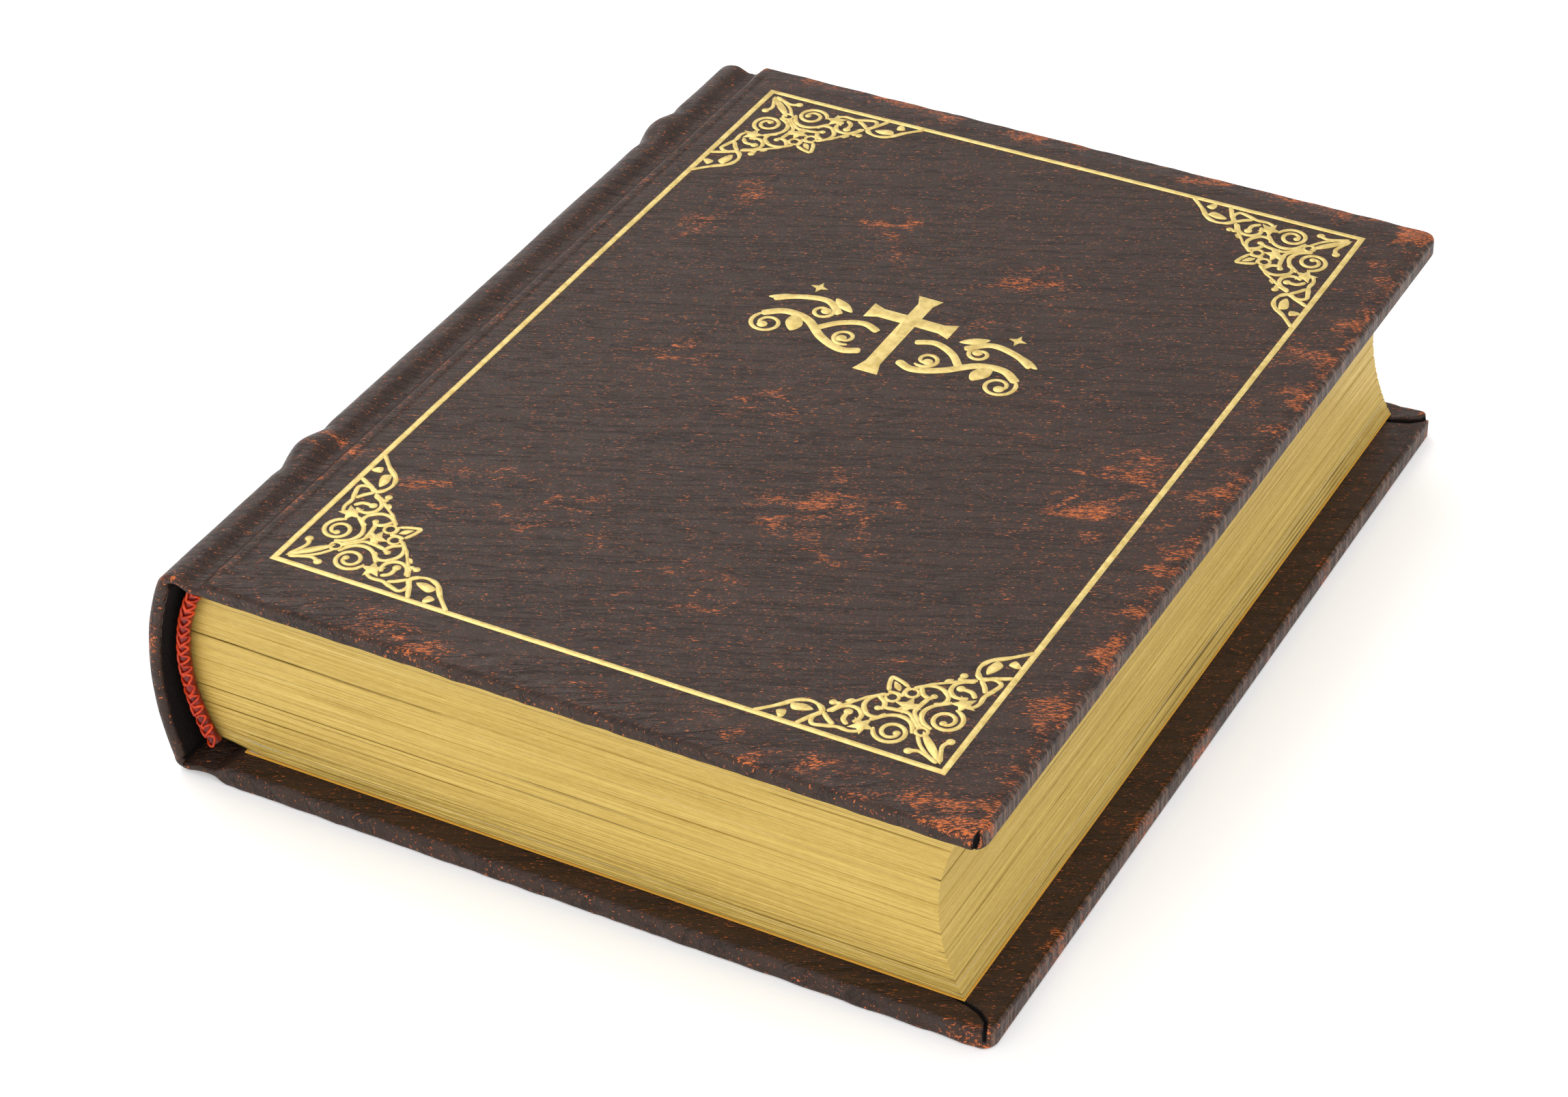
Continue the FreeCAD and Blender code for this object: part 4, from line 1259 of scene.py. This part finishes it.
def star(centre, radius, count, turn, waist=0.46):
    angles = turn + np.arange(2 * count) * math.pi / count
    radii = np.where(np.arange(2 * count) % 2 == 0, radius, radius * waist)
    outline = around(centre, radii, angles)
    return filled(outline, GILT_RISE * 1.1, smooth=False, bevel=0.82)


def spiral(centre, radius, turns, start, direction, ball=0.8, end_share=0.36):
    """A volute that winds in to a ball."""
    t = np.linspace(0, 1, int(26 * turns))
    angle = start + direction * 2 * math.pi * turns * t
    r = radius * (1 - (1 - end_share) * t**0.85)
    line = around(centre, r, angle)
    end = line[-1] * 0.8 + np.asarray(centre) * 0.2
    return [ribbon(line, np.linspace(STROKE, STROKE * 0.85, len(line))), disc(end, ball)]


def ring(centre, radius, width, start=0.0):
    """A thin gold ring."""
    angles = np.linspace(start, start + 2 * math.pi, 13)
    return ribbon(around(centre, radius, angles), width)


def moved(parts, origin, scale=(1, 1)):
    """Parts scaled in plan about the origin of their own drawing, then moved."""
    factors, offset = np.array([*scale, 1.0]), np.array([*origin, 0.0])
    return [(verts * factors + offset, faces) for verts, faces in parts]


# One corner's ornament. Distances are from the fillet's outer corner: the first along one side, the
# second along the other. Each stroke is drawn twice, with the two distances exchanged.
LEG_STROKES = [
    ([(42.3, 1.0), (38.6, 4.7), (36.1, 7.7), (33.4, 8.7), (31.0, 8.0), (30.0, 6.5),
      (31.2, 4.6), (32.2, 2.6), (33.0, 1.2)], 1.0),
    ([(30.2, 6.6), (30.9, 4.2), (30.0, 2.5), (27.7, 3.0), (25.2, 3.8), (22.6, 3.7), (20.6, 4.6)], 0.95),
    ([(29.8, 6.8), (28.0, 5.2), (26.2, 4.1)], 0.9),
    ([(29.2, 10.3), (27.9, 10.4), (28.3, 8.8), (29.2, 7.2)], 0.9),
    ([(28.6, 7.4), (27.5, 9.6), (25.9, 10.7), (24.0, 10.6), (22.7, 9.4), (22.5, 7.8), (23.2, 6.4)], 0.95),
    ([(25.4, 8.9), (25.3, 6.6), (23.8, 5.2)], 0.9),
    ([(27.6, 10.0), (25.8, 12.4), (24.1, 14.7), (22.0, 16.6), (20.7, 17.3)], 0.75),
    ([(20.6, 8.6), (17.9, 11.5), (15.2, 12.3), (12.7, 11.1), (11.3, 8.5)], 0.95),
    ([(21.4, 17.3), (23.4, 15.0), (23.7, 12.4), (22.0, 10.1), (19.8, 9.9), (18.6, 11.6)], 0.95),
    ([(22.6, 16.2), (20.5, 14.9), (19.9, 13.2), (20.8, 12.6)], 0.9),
    ([(20.0, 13.2), (17.4, 13.7), (14.7, 13.8), (12.6, 12.2), (10.9, 10.5)], 0.9),
    ([(17.2, 13.6), (16.2, 15.2), (15.4, 16.0)], 0.9),
    ([(9.6, 3.6), (7.7, 4.3), (5.2, 3.5), (3.0, 2.7)], 1.0),
]
LEG_LEAVES = [
    [(36.3, 6.6), (33.8, 7.3), (31.8, 6.5), (33.3, 5.3), (35.4, 4.7), (36.4, 5.6)],
    [(38.2, 3.2), (36.4, 3.9), (36.0, 2.0), (36.9, 1.4)],
    [(26.7, 12.9), (27.5, 11.6), (26.2, 11.8), (25.4, 12.8)],
]
LEG_BALLS = [((29.4, 10.3), 0.85), ((25.4, 9.0), 0.95), ((9.6, 3.5), 0.95), ((20.8, 12.6), 0.75)]
SPRIG_LEAF = [(2.3, 2.6), (4.2, 5.6), (6.4, 8.0), (9.6, 10.2), (8.4, 7.6), (5.8, 4.9)]
SPRIG_STEM = [(3.0, 2.5), (5.8, 4.0), (8.3, 6.0), (10.2, 8.6)]


def corner_parts():
    """The ornament of one corner, in (distance along one side, distance along the other)."""
    parts = []
    for mirrored in (False, True):
        side_parts = []
        for stroke, width in LEG_STROKES:
            line = through(stroke)
            thick = 1.1 * width * (1 + 0.22 * value_noise(np.arange(len(line)) / 5, width * 7, 0, 61))
            side_parts.append(ribbon(line, thick))
        side_parts += [filled(leaf) for leaf in LEG_LEAVES]
        side_parts += [disc(centre, radius) for centre, radius in LEG_BALLS]
        side_parts.append(star((21.2, 6.3), 2.9, 5, 1.9))
        side_parts += spiral((15.1, 7.2), 3.75, 1.5, -0.1, -1)
        side_parts.append(ribbon(through([(22.8, 22.8), (22.2, 20.4), (21.3, 18.4)]), 1.0))
        side_parts.append(ribbon(through([(21.3, 18.2), (19.4, 18.4), (18.0, 18.0)]), 0.9))
        side_parts.append(filled([(21.6, 21.6), (20.9, 19.9), (19.8, 19.3), (19.3, 19.5)]))
        side_parts.append(ring((19.8, 16.9), 1.35, 0.8))
        for verts, faces in side_parts:
            parts.append((verts[:, [1, 0, 2]] if mirrored else verts, faces))
    parts.append(star((15.9, 15.9), 2.9, 4, 0.0, 0.42))
    parts.append(filled(SPRIG_LEAF))
    parts.append(ribbon(through(SPRIG_STEM), 0.85))
    parts.append(ring((9.9, 9.9), 1.25, 0.85, 0.2))
    return parts


def fillet_parts():
    """The plain line round the cover, mitred at its corners."""
    half = FILLET_WIDTH / 2
    section = line_section(half, half - 0.25, GILT_RISE)
    steps = 48
    low, high = np.array(FILLET_LOW) + half, np.array(FILLET_HIGH) - half
    inward = ((1, 1), (-1, 1), (-1, -1), (1, -1))
    turns = ((low[0], low[1]), (high[0], low[1]), (high[0], high[1]), (low[0], high[1]))
    rows = []
    for k in range(4):
        start, end = np.array(turns[k]), np.array(turns[(k + 1) % 4])
        lean_start, lean_end = np.array(inward[k]), np.array(inward[(k + 1) % 4])
        for t in np.arange(steps) / steps:
            spot = start + (end - start) * t
            lean = lean_start if t == 0 else (lean_start + lean_end) / 2
            rows.append([(*(spot + lean * across), height) for across, height in section])
    verts = np.array(rows).reshape(-1, 3)
    index = np.arange(len(verts)).reshape(len(rows), len(section))
    return [(verts, strips(index, np.roll(index, -1, 0)))]


def gilt_piece(name, parts):
    """Sets gold parts on the leather's face and joins them into one piece."""
    verts, faces = merge(parts)
    verts = verts.copy()
    verts[:, 2] += cover_height(verts[:, 0], verts[:, 1])
    piece = new_object(name, verts, faces, smooth_angle=40)
    piece.data.materials.append(GOLD)
    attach(piece, "front_cover")


gilt_piece("gilt_fillet", fillet_parts())
for corner_name, origin, inwards in (
    ("spine_tail", FILLET_LOW, (1, 1)),
    ("fore_tail", (FILLET_HIGH[0], FILLET_LOW[1]), (-1, 1)),
    ("fore_head", FILLET_HIGH, (-1, -1)),
    ("spine_head", (FILLET_LOW[0], FILLET_HIGH[1]), (1, -1)),
):
    gilt_piece(f"gilt_corner_{corner_name}", moved(corner_parts(), origin, inwards))


# The middle ornament: a plain cross between two pairs of scrolls.

CENTRE = (5.3, 25.5)
CROSS_TALL, CROSS_WIDE, CROSS_ARM = 33.0, 21.0, 3.6


def mitred(outline, distance):
    """An outline drawn inwards by the same distance along all its sides."""
    ahead = np.roll(outline, -1, 0) - outline
    behind = outline - np.roll(outline, 1, 0)
    normal_a = np.stack([ahead[:, 1], -ahead[:, 0]], -1) / np.hypot(*ahead.T)[:, None]
    normal_b = np.stack([behind[:, 1], -behind[:, 0]], -1) / np.hypot(*behind.T)[:, None]
    lean = normal_a + normal_b
    lean /= (1 + (normal_a * normal_b).sum(1))[:, None]
    return outline + lean * distance


def cross_parts():
    """A Latin cross with flared ends."""
    top, bottom = CROSS_TALL * 0.5, -CROSS_TALL * 0.5
    beam = top - CROSS_TALL * 0.31
    arm, flare = CROSS_ARM / 2, CROSS_ARM * 0.85
    reach = CROSS_WIDE / 2
    lower, upper = beam - arm, beam + arm
    outline = np.array([
        (arm, lower), (arm, bottom + 4.0), (flare, bottom),
        (-flare, bottom), (-arm, bottom + 4.0), (-arm, lower),
        (-reach + 3.0, lower), (-reach, beam - flare), (-reach, beam + flare), (-reach + 3.0, upper),
        (-arm, upper), (-arm, top - 3.0), (-flare, top),
        (flare, top), (arm, top - 3.0), (arm, upper),
        (reach - 3.0, upper), (reach, beam + flare), (reach, beam - flare), (reach - 3.0, lower),
    ])
    inner = mitred(outline, 0.35)
    return [raised((outline, -GILT_ROOT), (outline, GILT_FOOT), (inner, GILT_RISE * 1.2))]


SCROLL_STROKES = [
    ([(4.6, -9.5), (9.0, -11.0), (15.0, -8.5), (21.0, -3.5), (27.0, -2.6), (31.6, -5.6)], 2.2),
    ([(4.6, -1.0), (9.0, 0.6), (14.0, -1.6), (18.0, -6.0)], 1.9),
    ([(15.5, 1.5), (20.5, 5.4), (27.0, 4.2), (32.0, 1.0)], 1.9),
]
SCROLL_SPIRALS = [
    ((28.6, -8.6), 4.2, 1.3, 0.9, -1),
    ((10.2, -6.2), 3.1, 1.2, -2.2, 1),
    ((19.6, 1.0), 3.0, 1.1, 2.0, 1),
]
SCROLL_LEAVES = [
    [(33.4, 1.2), (30.8, 3.6), (27.2, 4.6), (29.6, 1.6)],
    [(24.0, -2.0), (21.0, -6.0), (22.4, -9.2), (25.2, -6.0)],
    [(13.4, 3.4), (15.6, 6.2), (19.2, 7.2), (17.4, 4.2)],
]


def centre_parts():
    parts = cross_parts()
    for side in (1, -1):
        strokes = [ribbon(through(stroke), width) for stroke, width in SCROLL_STROKES]
        strokes += [filled(leaf) for leaf in SCROLL_LEAVES]
        for middle, radius, turns, start, direction in SCROLL_SPIRALS:
            strokes += spiral(middle, radius, turns, start, direction, 1.25)
        strokes.append(star((24.8, 9.6), 2.2, 4, 0.0, 0.4))
        parts += moved(strokes, (0, 0), (side, 1))
    return moved(parts, CENTRE)


gilt_piece("gilt_centre", centre_parts())


# ---- camera, floor and light ----

CAMERA_AT = (337.55, -631.51, 532.37)
CAMERA_AZIMUTH, CAMERA_ELEVATION = 28.8797, 36.0435
CAMERA_ROLL = -0.0204189  # radians
CAMERA_LENS, CAMERA_SENSOR = 90.49, 36.0


def add_camera():
    azimuth, elevation = math.radians(CAMERA_AZIMUTH), math.radians(CAMERA_ELEVATION)
    back = Vector((
        math.sin(azimuth) * math.cos(elevation),
        -math.cos(azimuth) * math.cos(elevation),
        math.sin(elevation),
    ))
    right = (-back).cross(Vector((0, 0, 1))).normalized()
    up = right.cross(-back)
    c, s = math.cos(CAMERA_ROLL), math.sin(CAMERA_ROLL)
    rolled_right, rolled_up = c * right + s * up, -s * right + c * up
    data = bpy.data.cameras.new("camera")
    data.lens = CAMERA_LENS
    data.sensor_width = CAMERA_SENSOR
    data.clip_start, data.clip_end = 0.01, 20
    camera = bpy.data.objects.new("camera", data)
    turn = Matrix((rolled_right, rolled_up, back)).transposed().to_4x4()
    camera.matrix_world = Matrix.Translation(Vector(CAMERA_AT) * MM) @ turn
    bpy.context.scene.collection.objects.link(camera)
    bpy.context.scene.camera = camera


def add_floor():
    size = 6.0
    steps = 12
    line = np.linspace(-size, size, steps + 1) / MM
    x, y = np.meshgrid(line, line, indexing="ij")
    verts = np.stack([x, y, np.zeros_like(x)], -1).reshape(-1, 3)
    index = np.arange(len(verts)).reshape(steps + 1, steps + 1)
    floor = new_object("floor", verts, grid_quads(index).tolist())
    floor.data.materials.append(floor_material())


def add_light(name, at, size, power):
    data = bpy.data.lights.new(name, "AREA")
    data.shape = "RECTANGLE"
    data.size, data.size_y = size
    data.energy = power
    light = bpy.data.objects.new(name, data)
    light.location = at
    light.rotation_euler = (Vector((0, 0, 0.03)) - Vector(at)).to_track_quat("-Z", "Y").to_euler()
    bpy.context.scene.collection.objects.link(light)


def add_world():
    world = bpy.data.worlds.new("studio")
    bpy.context.scene.world = world
    world.use_nodes = True
    background = world.node_tree.nodes["Background"]
    background.inputs["Color"].default_value = (1.0, 1.0, 1.0, 1)
    background.inputs["Strength"].default_value = 0.76
    bpy.context.scene.view_settings.view_transform = "Standard"


add_camera()
add_floor()
add_light("key", (-0.9, 0.5, 1.5), (1.2, 1.2), 15)
add_light("fill", (1.3, -1.1, 1.1), (1.4, 1.4), 13)
add_light("front", (-0.3, -1.6, 0.8), (1.4, 0.9), 5)
add_world()
